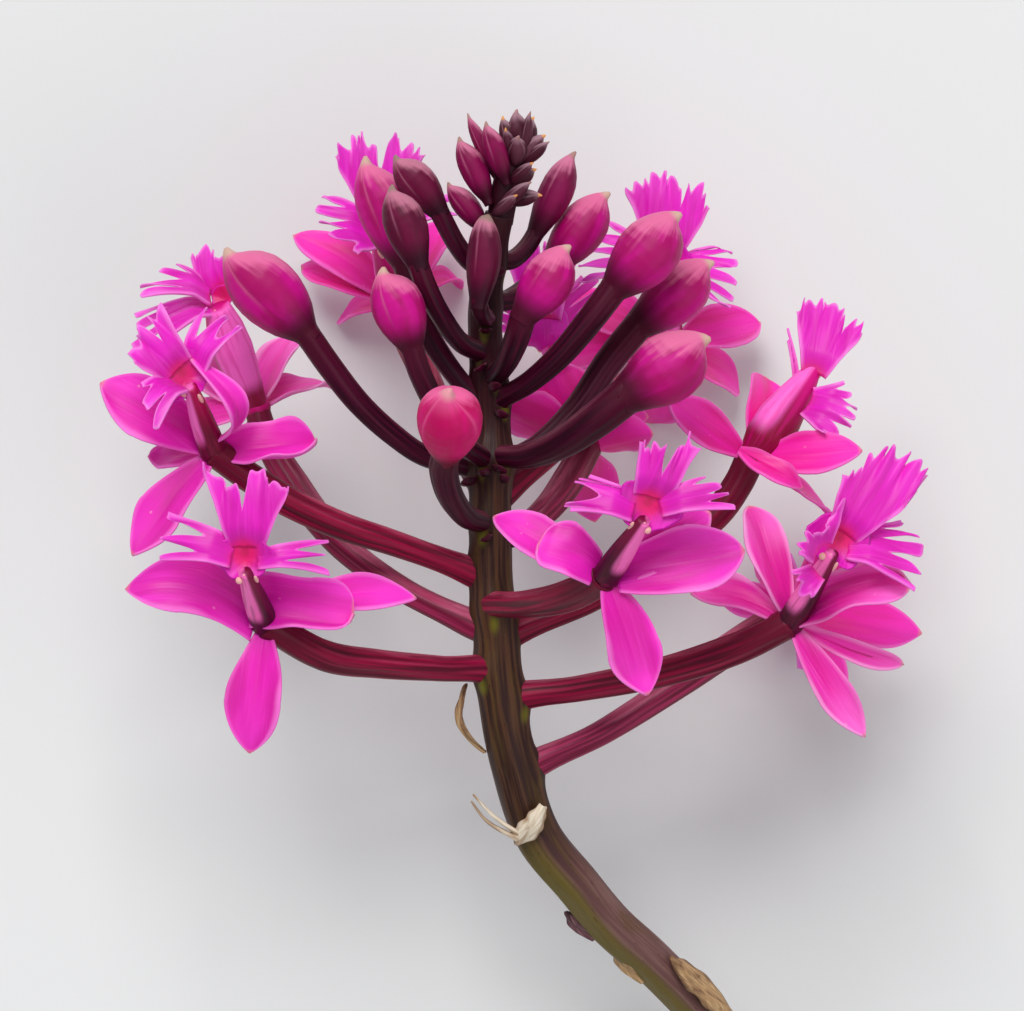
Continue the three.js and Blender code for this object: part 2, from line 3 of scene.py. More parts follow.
import bpy
import numpy as np
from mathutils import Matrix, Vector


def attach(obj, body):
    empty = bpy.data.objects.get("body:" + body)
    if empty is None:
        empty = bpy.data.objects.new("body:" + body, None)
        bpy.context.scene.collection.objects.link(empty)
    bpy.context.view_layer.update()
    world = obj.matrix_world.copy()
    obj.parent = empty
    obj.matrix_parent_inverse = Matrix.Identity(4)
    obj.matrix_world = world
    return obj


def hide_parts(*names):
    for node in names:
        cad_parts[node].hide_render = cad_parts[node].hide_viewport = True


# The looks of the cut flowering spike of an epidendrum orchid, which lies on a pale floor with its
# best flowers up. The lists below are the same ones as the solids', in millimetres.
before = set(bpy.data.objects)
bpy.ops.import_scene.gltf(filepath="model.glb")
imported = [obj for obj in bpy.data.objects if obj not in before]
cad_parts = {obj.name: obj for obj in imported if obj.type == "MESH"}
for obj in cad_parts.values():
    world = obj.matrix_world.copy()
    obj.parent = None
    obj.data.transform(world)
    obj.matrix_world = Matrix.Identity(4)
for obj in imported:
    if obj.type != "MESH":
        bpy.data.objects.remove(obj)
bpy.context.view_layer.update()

MM = 0.001
# Moves the lists' coordinates into the frame's, where everything stands round the origin, on the floor
CENTRE = np.array([-1.48, 3.59, -0.45])
# Seeds: the flowers count up from the first, and the small pieces share the other
SEED = 20
SMALL_SEED = 220

# The stem: a smooth path from the tip to the plainly cut end, with its radius at even steps
STEM_PATH = [
    [0, 38.5, 35], [-1, 34, 34], [-1.5, 28.5, 33], [-1, 22, 32], [-0.8, 17, 32], [-1, 12, 32],
    [-0.9, 6, 32], [-0.8, 1, 31.8], [-0.3, -4.5, 31.5], [0.3, -10.6, 31], [1.4, -16.2, 30],
    [3.8, -23.5, 27.5], [7.7, -28.5, 24.5], [11.1, -32.6, 21], [14.8, -36, 17.5], [19.8, -41.1, 12.5],
    [27, -48.5, 5.8], [33, -54.5, 2.4],
]
STEM_RADII = [1.45, 1.55, 1.75, 2, 2.1, 2.25, 2.35, 2.35, 2.3, 2.25, 2.2, 2.2, 2.2, 2.2]

# Each flower: the top of its ovary, the mouth of its lip tube and the way it faces. Where they aren't the
# usual ones, also the way its lip faces, the radii of its tube, the side on which that is pale (1 is the
# right one) and the radius of its lip's disc.
# Its sepals and petals are [tip, width, bow, cup], with more of what tepal() takes in a dict. The lobes of
# its lip, the middle one first, are [middle of the fringe, bow, fingers], with a neck, a slit or a root of
# their own, or a notch, in a dict. Fingers are the places of their tips as seen from above, or else (width
# of the fringe, number). A notch is the place of its bottom as seen from above, or True for one straight
# ahead. The stalk's path runs from the stem to just below the flower.
FLOWERS = [
    {
        "base": [-23.2, -2.2, 46], "mouth": [-25.2, 3.3, 53.5], "front": [-0.12, 0.25, 0.95],
        "tepals": [
            [[-24.8, -15.1, 45.5], 5.6, 0.8, 0.25],
            [[-37.1, 1.2, 46], 5.8, 1, 0.2, {"roll": -12, "sway": 2, "start": 0.7}],
            [[-33.8, 3, 43], 4.4, 0.6, 0.2, {"roll": 10, "sway": 1.2, "start": 0.5}],
            [[-14.4, -1.3, 47], 5.8, 1.2, 0.3,
             {"roll": 8, "blunt": 0.9, "fold": 1, "start": 0.95, "shift": [-2.3, 2.1, 0]}],
            [[-8.2, 0.4, 42.6], 3.8, 0.8, 0.3, {"sway": 1.2}],
        ],
        "lobes": [
            [[-25.2, 12.6, 54.4], 0.5, [
                (-29.2, 13.8), (-28.5, 12.9), (-27.4, 12.1), (-26.4, 11.3), (-24.9, 13.3), (-24.3, 13),
                (-23.6, 13.2), (-22.8, 12.3), (-21.9, 12), (-20.9, 11.4),
            ], {"slit": (0, 0.07), "notch": (-25.3, 9.4)}],
            [[-33.2, 6.2, 52.6], 0.9, [(-32.7, 8.9), (-33.4, 6.3), (-33.5, 4.6)]],
            [[-17, 4.6, 52.6], 0.9, [(-16.7, 5.9), (-17.3, 4.4), (-16.8, 3.1)]],
        ],
        "stalk": [[-0.6, -7.2, 31.5], [-6, -6.8, 35], [-12, -6.3, 39], [-17.5, -5.4, 43]],
    },
    {
        "base": [-28.4, 14.8, 38], "mouth": [-30.4, 21.5, 44], "front": [-0.3, 0.4, 0.85],
        "tepals": [
            [[-36.5, 4.4, 38], 5, 0.6, 0.3], [[-39.8, 21.6, 38.5], 6.2, 0.8, 0.2],
            [[-34.6, 14, 33], 3.4, 0.6, 0.3],
            [[-18.3, 15.8, 37], 5.2, 1.4, 0.4, {"blunt": 0.3, "fold": 0.9, "sway": -0.8, "start": 0.6}],
            [[-31.2, 24.2, 43.5], 2.8, 5.2, 0.3, {"roll": 60}],
        ],
        "lobes": [
            [[-35.8, 27.2, 45.2], 0.6, [
                (-34, 29.4), (-35.2, 28.3), (-36.1, 27.5), (-35.8, 26.3), (-36.9, 24.9), (-36.2, 23.8),
            ], {"notch": (-33.8, 26)}],
            [[-34.8, 18.8, 47.5], 0.8, [(-35.6, 20.6), (-35.2, 18.9), (-34.2, 17.5)]],
            [[-27, 28, 43.6], 0.8, [(-29, 29), (-27.3, 28.6), (-25.6, 27.2)]],
        ],
        "stalk": [[-2.8, 2.8, 32], [-10, 5.5, 33.8], [-16, 7.5, 35.4], [-21, 9.8, 36.8], [-25, 12.3, 37.6]],
    },
    {
        "base": [-24.4, 19.2, 24], "mouth": [-27.6, 29.4, 29], "front": [-0.5, 0.6, 0.5],
        "tube": [1.1, 1.5, 1.9, 2.1, 1.9, 1.3], "flank": 1, "disc": 1.5,
        "tepals": [
            [[-20.3, 27, 17], 5.4, 0.5, 0.3], [[-16, 21.6, 17.5], 5.4, 0.8, 0.3],
            [[-25, 14, 13.5], 5.6, 0.5, 0.2], [[-34, 16.4, 18.5], 5.4, 0.6, 0.3],
            [[-31, 25, 15.5], 5.6, 0.6, 0.3],
        ],
        "lobes": [
            [[-28.6, 36.2, 26], 0.4, [
                (-30.9, 34.4), (-29.5, 35.7), (-28.9, 35), (-27.8, 34.4), (-26.6, 34.8),
            ], {"notch": True}],
            [[-35.4, 31.2, 30.5], 0.6, [(-35.9, 30.5), (-35.8, 31.9), (-34.2, 32.3), (-32.5, 32.6)]],
            [[-36.2, 26.2, 29], 0.6, [(-36.4, 28), (-36.2, 27), (-36.9, 25.6), (-35.4, 24.4)]],
        ],
        "stalk": [
            [-3.2, -2.2, 31], [-10, 1.2, 29.8], [-16, 5.6, 27.6], [-21, 12, 25.4], [-23.6, 16.6, 24.4],
        ],
    },
    {
        "base": [-10.5, 30, 10.5], "mouth": [-11.7, 36.4, 17.5], "front": [-0.25, 0.6, 0.75],
        "tepals": [
            [[-21, 36.7, 6.5], 4.4, 0.8, 0.25, {"sway": 0.6}],
            [[-20.2, 33.6, 4.5], 3.2, 0.8, 0.4, {"roll": 10, "sway": -0.8, "fold": -0.6}],
            [[-16.3, 28, 0.6], 3.2, 0.8, 0.3], [[-3.8, 32.4, 0.65], 3.6, 0.8, 0.3, {"fold": -0.6}],
            [[-4.8, 38.2, 4.6], 4.6, 0.8, 0.3],
        ],
        "lobes": [
            [[-11.9, 46.4, 18.3], 0.4, [
                (-16.6, 44.9), (-16, 46), (-15.1, 46.8), (-14.4, 47), (-13.7, 47.2), (-12.9, 45.9),
                (-11.7, 46.1), (-10.8, 47.3), (-9.9, 46.5), (-8.9, 46.1), (-8.1, 45.9), (-7.3, 45),
            ], {"notch": (-11.9, 42.9)}],
            [[-18.6, 38.6, 17.9], 0.7, [
                (-18, 41), (-18.7, 38.9), (-18.4, 37.5), (-17.4, 36.2), (-14.6, 34.2),
            ]],
            [[-4.8, 39.6, 17.9], 0.7, [(-5, 40.8), (-4.5, 39.4), (-5.2, 38)]],
        ],
        "stalk": [[-1.8, 11.6, 31], [-5.2, 17.6, 26.6], [-8, 23.6, 20], [-9.6, 27.4, 14]],
    },
    {
        "base": [17.2, 25.5, 10.2], "mouth": [16.4, 32.8, 16.7], "front": [0.15, 0.55, 0.8],
        "tepals": [
            [[26.4, 27.9, 4.3], 5.4, 0.8, 0.3], [[24.4, 21, 2.9], 5, 0.6, 0.3],
            [[6.4, 31, 3.5], 5.6, 0.4, 0.2], [[6.2, 24, 4.3], 5.2, 0.8, 0.25],
            [[15.4, 17.6, 0.7], 5.6, 0.8, 0.3],
        ],
        "lobes": [
            [[17.6, 42.6, 17.7], 0.4, [
                (12.7, 41.6), (13.6, 42.2), (14.5, 42.7), (15.5, 43.1), (16.4, 43.4), (17.7, 42.9),
                (18.3, 41.6), (19.2, 42.2), (20.3, 42.2), (20.8, 40.9), (21.3, 39.9),
            ], {"notch": (18.1, 39.8)}],
            [[8.8, 34.8, 17.1], 0.7, [(11, 37.8), (9, 36.7), (8.7, 35.2), (7.9, 33.7), (7.8, 31.7)]],
            [[23.8, 31.6, 17.1], 0.7, [
                (22, 34.9), (23.3, 34.7), (23.9, 33.6), (23.8, 31.4), (23.5, 30.2), (23.1, 29),
            ]],
        ],
        "stalk": [[0, 10.4, 30.6], [4.6, 14.4, 27.8], [10, 19.2, 23], [14.6, 22.8, 15]],
    },
    {
        "base": [8.7, 15.3, 20], "mouth": [4.4, 26.2, 17], "front": [-0.1, 0.5, -0.85],
        "tepals": [
            [[4.8, 24, 22.6], 6, 0.4, 0.2], [[0.2, 19.4, 23.4], 5.4, 0.6, 0.3],
            [[14.6, 18.6, 12.6], 5.2, 0.6, 0.3], [[15.4, 16.6, 20.4], 4.4, 0.4, 0.4],
            [[9.6, 7.6, 12.2], 5.6, 0.8, 0.3],
        ],
        "lobes": [
            [[4.2, 36.8, 17.4], 0.3, (7, 13), {"notch": True}],
            [[-3.4, 30.2, 14.6], 0.5, (4.8, 4)],
            [[10.2, 31.8, 13.4], 0.5, (4.4, 4)],
        ],
        "stalk": [[0.9, 7, 31], [2.6, 7.4, 28.4], [4.8, 9.2, 25.6], [7, 12.2, 22.6]],
    },
    {
        "base": [25, 14.1, 30], "mouth": [32, 23.8, 28], "front": [0.55, 0.7, 0.2],
        "lip_front": [0.1, 0.3, 0.95], "tube": [1.4, 2.2, 2.3, 1.8, 1.2, 0.4], "flank": -1, "disc": 0.6,
        "tepals": [
            [[16.5, 20.1, 33.4], 4.2, 0.4, 0.3, {"roll": -60}],
            [[26.8, 22.4, 24.6], 5.4, 0.6, 0.3, {"blunt": 0.5}],
            [[36.1, 15, 33], 4.6, 0.8, 0.3, {"roll": 65, "sway": -0.4}],
            [[30.2, 11.4, 36], 2.7, 0.8, 0.4, {"roll": 55, "shift": [-1.8, 1.2, 3.4], "sway": -0.5}],
            [[34, 7.8, 24.6], 3.8, 0.4, 0.2],
        ],
        "lobes": [
            [[33, 30.4, 26.6], 0.3, [
                (29.6, 29), (30.2, 30.1), (31.2, 30), (32.1, 30.4), (32.8, 30.2), (33.6, 29.8),
                (34.3, 29.2), (34.8, 28.4), (35.6, 28.6), (36.4, 27.8), (36.2, 26.6),
            ], {"root": [31, 21.8, 30.4], "neck": 3, "notch": (34.3, 26.8)}],
            [[28.6, 26.4, 26], 0.4, [(29, 27.2), (28.6, 25.8)], {"root": [29.9, 20.5, 28.8], "neck": 1.2}],
            [[34.4, 18.4, 31.6], 0.4, [
                (34.3, 21.3), (35.3, 20.6), (35.7, 19.2), (35.6, 18.1), (35, 17.3), (33.9, 16.6),
                (32.4, 16.2),
            ], {"root": [29.8, 20.4, 30.6], "neck": 3.8, "slit": (0.16, 0.4)}],
        ],
        "stalk": [[1.4, -3.2, 31], [9, 0, 30.2], [16, 4.6, 30], [21.4, 8.4, 30], [23.8, 11.6, 30]],
    },
    {
        "base": [10.4, 2.5, 50], "mouth": [14.3, 8.3, 56.2], "front": [0.25, 0.28, 0.92], "flank": 1,
        "disc": 3.3,
        "tepals": [
            [[14.3, -9.3, 48.6], 5.6, 0.8, 0.25],
            [[-0.6, 8.7, 47], 4.8, 0.8, 0.35, {"roll": 10, "sway": -0.9, "start": 0.5}],
            [[3.7, 5.6, 50.4], 5.4, 1, 0.2, {"blunt": 0.8, "start": 0.65, "sway": 0.4}],
            [[24.2, 5, 49.6], 6.6, 0.8, 0.25, {"sway": -0.3, "blunt": 0.2, "start": 0.6}],
            [[20.8, 8.6, 48], 5.6, 0.6, 0.25, {"start": 0.6}],
        ],
        "lobes": [
            [[16.6, 16.4, 57.2], 0.5, [
                (13.6, 15.9), (14.2, 16.1), (14.8, 15.4), (15.3, 15.8), (16, 15.6), (16.7, 16.3),
                (17.7, 15.6), (18.4, 17.3), (19, 16.9), (19.4, 15.4),
            ], {"notch": (15.9, 12.7)}],
            [[7.2, 11.2, 56], 0.8, [(8.8, 12.3), (7.9, 12.4), (7.4, 11.9), (6.4, 9.7), (6.8, 8.9)]],
            [[21.9, 10.6, 55.6], 0.8, [
                (20.3, 11.9), (21.7, 11.3), (22.6, 10.5), (23.1, 9.4),
            ], {"slit": (0.2, 0.38)}],
        ],
        "stalk": [[-1.3, -0.8, 32], [2.4, -0.4, 38], [5.8, 0.2, 43.4], [8.6, 1.3, 47.4]],
    },
    {
        "base": [28.8, -2.2, 38], "mouth": [33, 5, 43.6], "front": [0.35, 0.45, 0.82], "disc": 3.3,
        "tepals": [
            [[25.1, 9.6, 36.4], 4.4, 0.8, 0.3, {"sway": -0.5, "blunt": 0.4}],
            [[19.1, 0.3, 33.6], 4, 1.2, 0.4, {"sway": 0.5, "fold": -0.5}],
            [[36.3, -13.6, 37.4], 3.6, 0.8, 0.4, {"roll": 20, "sway": -0.4}],
            [[40.1, -6.4, 34], 2.2, 0.8, 0.5, {"roll": 30, "sway": -0.5, "blunt": 0.3}],
            [[40.5, 2, 41.4], 5.4, 0.8, 0.3,
             {"roll": -12, "sway": 0.5, "blunt": 0.6, "start": 0.5, "fold": -0.8}],
        ],
        "lobes": [
            [[38.6, 14.6, 43.2], 0.5, [
                (33.9, 12.7), (35, 13.1), (36.2, 13.4), (37, 14.8), (38.2, 15.7), (39.4, 15.6), (40.6, 15),
                (41.8, 14.2), (42.7, 13.3), (42.9, 12.4), (41.6, 10.9), (40.4, 9.8),
            ]],
            [[30, 8, 47.4], 0.5, [
                (28.9, 4.6), (29.2, 5.8), (29.8, 6.8), (30.7, 6.9), (31.7, 7.1), (32.4, 8), (33.3, 10.1),
            ], {"root": [32.4, 4.2, 45.6], "slit": (0.16, 0.34)}],
            [[41.6, 3.6, 41.4], 0.7, [(39.8, 7.4), (41.4, 6.2), (42, 5), (41.5, 2.3), (41, 0.8)]],
            [[29.4, 1.2, 46.4], 0.4, [
                (29, 3), (29, 1.8), (29.8, 0.6), (30.8, 0.4),
            ], {"root": [32.4, 3.6, 45.4], "neck": 2.4, "slit": (0.16, 0.34)}],
        ],
        "stalk": [[1, -10, 31], [8, -8.8, 33], [16, -7.2, 35.4], [24, -4.6, 37.2]],
    },
    {
        "base": [29.6, -1, 18.6], "mouth": [30.2, -1.2, 8.4], "front": [0.1, 0.05, -0.99],
        "tepals": [
            [[25.8, 6.6, 11.6], 3.8, 0.6, 0.3], [[21.6, 0.4, 11.6], 3.6, 0.6, 0.3],
            [[34.8, -10.4, 13.4], 3.8, 0.6, 0.3], [[42.8, -3.6, 14.4], 4.8, 0.6, 0.3],
            [[37.2, 8.6, 13.4], 5.2, 0.6, 0.3],
        ],
        "lobes": [
            [[36.4, 2.6, 0.6], 0.3, (8, 13), {"notch": True}],
            [[26.4, 4, 1.2], 0.5, (4.8, 4)],
            [[33.6, -7.6, 1.2], 0.5, (4.8, 4)],
        ],
        "stalk": [[2.6, -17, 29.8], [10, -13.4, 27.4], [18, -8.4, 24], [26, -3, 20]],
    },
]

# Each large bud: base, tip, greatest radius, radius of its foot, how round its tip is, and its stalk's path
BUDS = [
    [[-19.2, 26.5, 39], [-27.5, 34.8, 40], 3.3, 1.35, 0,
     [[-2.4, 13, 32], [-7.5, 14.4, 34], [-10.5, 16.4, 35.6], [-14, 19.6, 37.2], [-17, 23.4, 38.4]]],
    [[-9.5, 33.6, 33], [-13.7, 44.2, 33.6], 2.7, 1.3, 0,
     [[-2.8, 20.6, 32.2], [-5.6, 24, 32.6], [-7.6, 27.4, 32.8], [-8.8, 31, 33]]],
    [[-8.2, 33.6, 42], [-10.9, 41.2, 42.6], 2.1, 1.1, 0,
     [[-1.6, 24.4, 33], [-4, 25.8, 36.4], [-6, 28.6, 39.6], [-7.4, 31.4, 41.4]]],
    [[-6.2, 38.9, 36.4], [-10.6, 44.2, 37.2], 1.9, 1, 0,
     [[-1.2, 32.6, 34], [-3, 33.8, 35], [-4.4, 35.6, 35.9]]],
    [[-8.8, 25.3, 42], [-11.8, 33, 43], 2.6, 1.2, 0,
     [[-1.2, 13.6, 33], [-4.2, 16, 38], [-6.4, 19.4, 40.6], [-8, 22.8, 41.7]]],
    [[-5.3, 14.6, 43.4], [-5.2, 20.8, 51.7], 3.2, 1.5, 0,
     [[-1, 7.4, 32.6], [-3.4, 8.4, 36.4], [-5, 10.6, 39.4], [-5.6, 13.2, 41.8]]],
    [[-2.1, 29.8, 39.2], [-1.3, 38.4, 39.8], 1.7, 0.9, 0.8,
     [[-1.4, 28, 33], [-1.5, 28.2, 36.2], [-1.9, 28.8, 38.2]]],
    [[3.6, 36.8, 31], [7.4, 44.9, 31], 1.7, 0.9, 0,
     [[-0.9, 33.6, 33.6], [1.2, 34, 32.2], [2.6, 35.2, 31.3]]],
    [[5.2, 33.6, 29.4], [10.8, 40.9, 29.4], 2.4, 1.15, 0,
     [[-1.2, 29.6, 32.6], [0.8, 30, 30.8], [3.2, 31.6, 29.6]]],
    [[2.4, 28.4, 40.6], [6.8, 35.4, 41], 2.5, 1.35, 0,
     [[-0.8, 22, 33], [0.4, 23.4, 36.4], [1.6, 25.9, 39.4]]],
    [[11.4, 31.1, 38], [17.8, 38.7, 38.4], 3.1, 1.5, 0,
     [[-0.4, 19.6, 32.6], [3, 21.8, 35], [6, 24.4, 36.8], [9.2, 28.2, 37.8]]],
    [[14, 27.6, 31], [21.2, 34, 31], 2.8, 1.6, 0,
     [[-0.6, 13, 31.6], [4, 15.6, 31.6], [7.7, 19.2, 31.3], [11, 24, 31]]],
    [[12.6, 20.4, 42], [20.7, 26.3, 42], 3.4, 1.95, 0,
     [[-0.6, 14.2, 33], [2.8, 14.4, 35.8], [6, 15.6, 38.4], [9.6, 18, 41]]],
]
BUDS = [dict(zip(("base", "tip", "radius", "foot", "blunt", "stalk"), row)) for row in BUDS]

# Small buds at the stem's tip: base beside the stem, tip, radius
SMALL_BUDS = [
    [[-1.4, 40.2, 36.4], [-4.2, 46.1, 37], 1.35], [[-1.9, 37.4, 35], [-5.3, 41.6, 34.6], 1.25],
    [[-0.5, 42.4, 35.8], [-3.3, 48.5, 36.2], 0.75], [[0.4, 42.2, 37.7], [-1.5, 47.6, 39.2], 1.1],
]

# The growing tip above the stem, and the tiny buds and bracts crowded round it: base, tip, radius
TIP_PATH = [[0, 37.6, 34.8], [0.2, 39.1, 35.1], [0.8, 42.3, 36], [1.7, 45.4, 36.4]]
TIP_RADII = [1.3, 1.42, 1.3, 0.8]
TIP_CROWD = [
    [[1.4, 44.4, 36.4], [0.2, 48.2, 36.8], 0.9], [[1.8, 44.8, 36.6], [1.6, 48.9, 37.2], 1],
    [[2, 44.6, 36.4], [3.3, 48.2, 36.2], 1], [[1.6, 43.8, 36.6], [4.5, 46.4, 37], 0.95],
    [[1.4, 43.6, 36.8], [1.8, 46.2, 39.2], 0.95], [[1.4, 43.4, 35.6], [2.4, 46.2, 33.4], 0.9],
    [[1, 41.4, 36.2], [3.6, 43, 37.6], 0.8], [[0.6, 40, 35.4], [4.2, 40.4, 36.6], 0.85],
    [[1.2, 44.2, 37.2], [0.5, 47, 38.6], 0.6], [[2.2, 44.4, 37], [3, 48.7, 37.8], 0.62],
    [[2.4, 43.6, 36.8], [4.9, 45.7, 38.2], 0.6], [[0.8, 42.8, 37], [-0.4, 45.6, 37.8], 0.6],
    [[1.2, 41.8, 37], [3.3, 43.6, 38.9], 0.6], [[0.2, 39.4, 36.4], [3.1, 41.7, 38], 0.7],
    [[-0.4, 38.6, 36.2], [1.7, 40.4, 38.4], 0.62],
]

# Dried bracts: root, tip, the way they face, width, bow and cup; and the papery one's loose strands
BRACTS = {
    "stem": [[4.4, -20.6, 31.6], [1.6, -24.4, 30.4], [0.5, 0, 0.87], 2.4, 0.5, -0.3],
    "hanging": [[-1.5, -15.2, 30.4], [-3.4, -8.4, 31], [-0.9, 0, 0.4], 1.2, 1.6, 0.2],
    "mauve": [[9.3, -34.2, 21], [6.6, -31.4, 23], [-0.5, -0.5, 0.7], 1.6, 0.3, -0.3],
    "lower": [[14.2, -38.6, 17.2], [11.4, -35.2, 19.8], [-0.5, -0.5, 0.7], 1.8, 0.3, -0.3],
    "sheath": [[24, -42.8, 12.2], [17.2, -36, 19.2], [0.45, 0.45, 0.77], 3, 0.3, -0.3],
}
STRANDS = {
    "stem": [
        [[2.1, -23.5, 31], [-0.6, -21.6, 31.8], [-2.7, -19.4, 32.2]],
        [[1.8, -23.9, 30.9], [-1.3, -22.1, 31], [-2.9, -20.1, 31.2]],
    ],
}

# Sepals and petals: share of the greatest width at the root, where along they are widest, how far they
# stand off the ovary's top, the depth of the groove, and the width of the pale rim, which the lip has too
TEPAL_ROOT = 0.34
TEPAL_WIDEST = 0.56
TEPAL_SEAT = 1.1
TEPAL_GROOVE = 0.2
RIM_WIDTH = 0.7
# The hub behind them, the column's rise over the lip and its radii up to the mouth
HUB_RADIUS = 1.4
COLUMN_RISE = 0.7
COLUMN_RADII = [1.4, 1.35, 1.2, 0.95, 0.65]
# Calli at the mouth: how far towards the pale side, how far back, radius and half the length
CALLI = [(1, 0.5, 0.36, 0.42), (-1, 1.1, 0.22, 0.85), (0.2, 0.1, 0.24, 0.34)]
# Ovaries and stalks: radii, the number and depth of the flutes, and the narrower crown under the tube
OVARY_RADIUS = 1.65
STALK_RADIUS = 1.3
FLUTES = 6
OVARY_FLUTE = 0.11
BUD_STALK_FLUTE = 0.09
CROWN_SHARE = 0.95
CROWN_OVER_TUBE = 1.15
# The lip's lobes, its middle one and its side ones. They are LOBE_NECK wide at NECK_AT from the lip's
# heart. They start LOBE_START from it, LOBE_DIP below the disc, and have risen to it at LOBE_RISEN. Then:
# how deep the slits go as shares of what lies beyond the neck, where a finger's flank starts and ends as
# shares of its width, the fraying of the fingers and its step, their curl, the ruffle, and the notch
LOBE_NECK = {"middle": 3.8, "side": 3.4}
NECK_AT = 1.6
LOBE_START = 1.3
LOBE_DIP = 0.75
LOBE_RISEN = 3.6
LOBE_SLIT = {"middle": (0.06, 0.16), "side": (0.42, 0.62)}
LOBE_FINGER = {"middle": (0.0, 0.95), "side": (0.05, 0.8)}
LOBE_FRAY = {"middle": 0.34, "side": 0.12}
FRAY_STEP = 0.36
FINGER_CURL = {"middle": 0.45, "side": 0.8}
LOBE_RUFFLE = 0.32
NOTCH_DEPTH = 0.7
NOTCH_STEEPNESS = 5.0
# The lip's disc: radius, how far it lies beyond the tube's mouth, depth of the bowl, its rise over the
# lobes' necks and how much is off its lower side; and the throat in it
DISC_RADIUS = 2.9
DISC_FORWARD = 0.8
DISC_DEPTH = 0.7
DISC_RISE = 0.1
DISC_TRIM = 0.35
THROAT_FORWARD = 0.7
THROAT_RADIUS = 1.7
# Buds: share of the length and of the radius at each place, how far the foot sinks into the stalk, and
# its radius as a share of the stalk's, or of the bud's where it has no stalk
BUD_OUTLINE = [
    (0.22, 0.74), (0.32, 0.88), (0.44, 0.98), (0.55, 1.0), (0.66, 0.95), (0.76, 0.79),
    (0.83, 0.6), (0.89, 0.38), (0.93, 0.22), (0.965, 0.15), (1.0, 0.06),
]
BUD_SINK = 0.9
BUD_FOOT_SHARE = 0.98
SMALL_FOOT_SHARE = 0.4
# Stalks: where they start below the stem's surface, how far they reach into a bud, and how they swell
STALK_SINK = np.array([0, -1.4, -0.5])
STALK_REACH = 0.8
BUD_STALK_RADIUS = 1.0
BUD_STALK_SWELL = [0, 0.1, 0.35, 0.6, 0.8, 0.95, 1.0]
# Where stalks leave the stem: the bump's place along the stalk, radius and height, and the olive patch
BUMP_FORWARD = 1.4
BUMP_RADIUS = 1.7
BUMP_RISE = 0.3
OLIVE_AT = np.array([0, -1.5, 0.6])
OLIVE_STRETCH = np.array([1.5, 0.75, 1.0])
# Scale leaves sit below the stalks that leave the stem above SCALE_FROM, and face SCALE_FACING
SCALE_FROM = 4.0
SCALE_SEAT = np.array([0, -1.1, 1.5])
SCALE_FACING = [0, -0.6, 0.8]
# A loose strand's radii, and how far along a bud's colours the bare growing tip is
STRAND_RADII = [0.3, 0.24, 0.16, 0.1]
TIP_TUBE_MARK = 0.05
# How far the grain is stretched along tubes and blades, and how far it shifts from tube to tube
TUBE_GRAIN = 0.25
BLADE_GRAIN = 0.22
GRAIN_SHIFT = 7.3
# Steps along each span of a path, along the stem's axis and along a bud's outline
SPAN_STEPS = 40
AXIS_STEPS = 200
BUD_STEPS = 61
# Points along and across each kind of blade, and round and along each kind of tube
TEPAL_GRID = (44, 26)
LOBE_GRID = (28, 150)
DISC_GRID = (25, 48)
BRACT_GRID = (48, 20)
SCALE_GRID = (20, 11)
HUB_GRID = (24, 14)
CALLUS_GRID = (14, 10)
COLUMN_GRID = (40, 34)
OVARY_GRID = (60, 74)
BUD_GRID = (60, 56)
BUD_STALK_GRID = (42, 54)
SMALL_BUD_GRID = (36, 36)
TIP_GRID = (30, 30)
STEM_GRID = (72, 420)
STRAND_GRID = (12, 30)


def vec(point):
    return np.array(point, float)


def unit(vector):
    return vector / np.linalg.norm(vector)


def smoothstep(low, high, value):
    share = np.clip((value - low) / (high - low), 0, 1)
    return share * share * (3 - 2 * share)


def along_list(values, share):
    return np.interp(share, np.linspace(0, 1, len(values)), values)


def put(name, data):
    """An object of that name in the scene, which holds the data."""
    made = bpy.data.objects.new(name, data)
    bpy.context.scene.collection.objects.link(made)
    return made


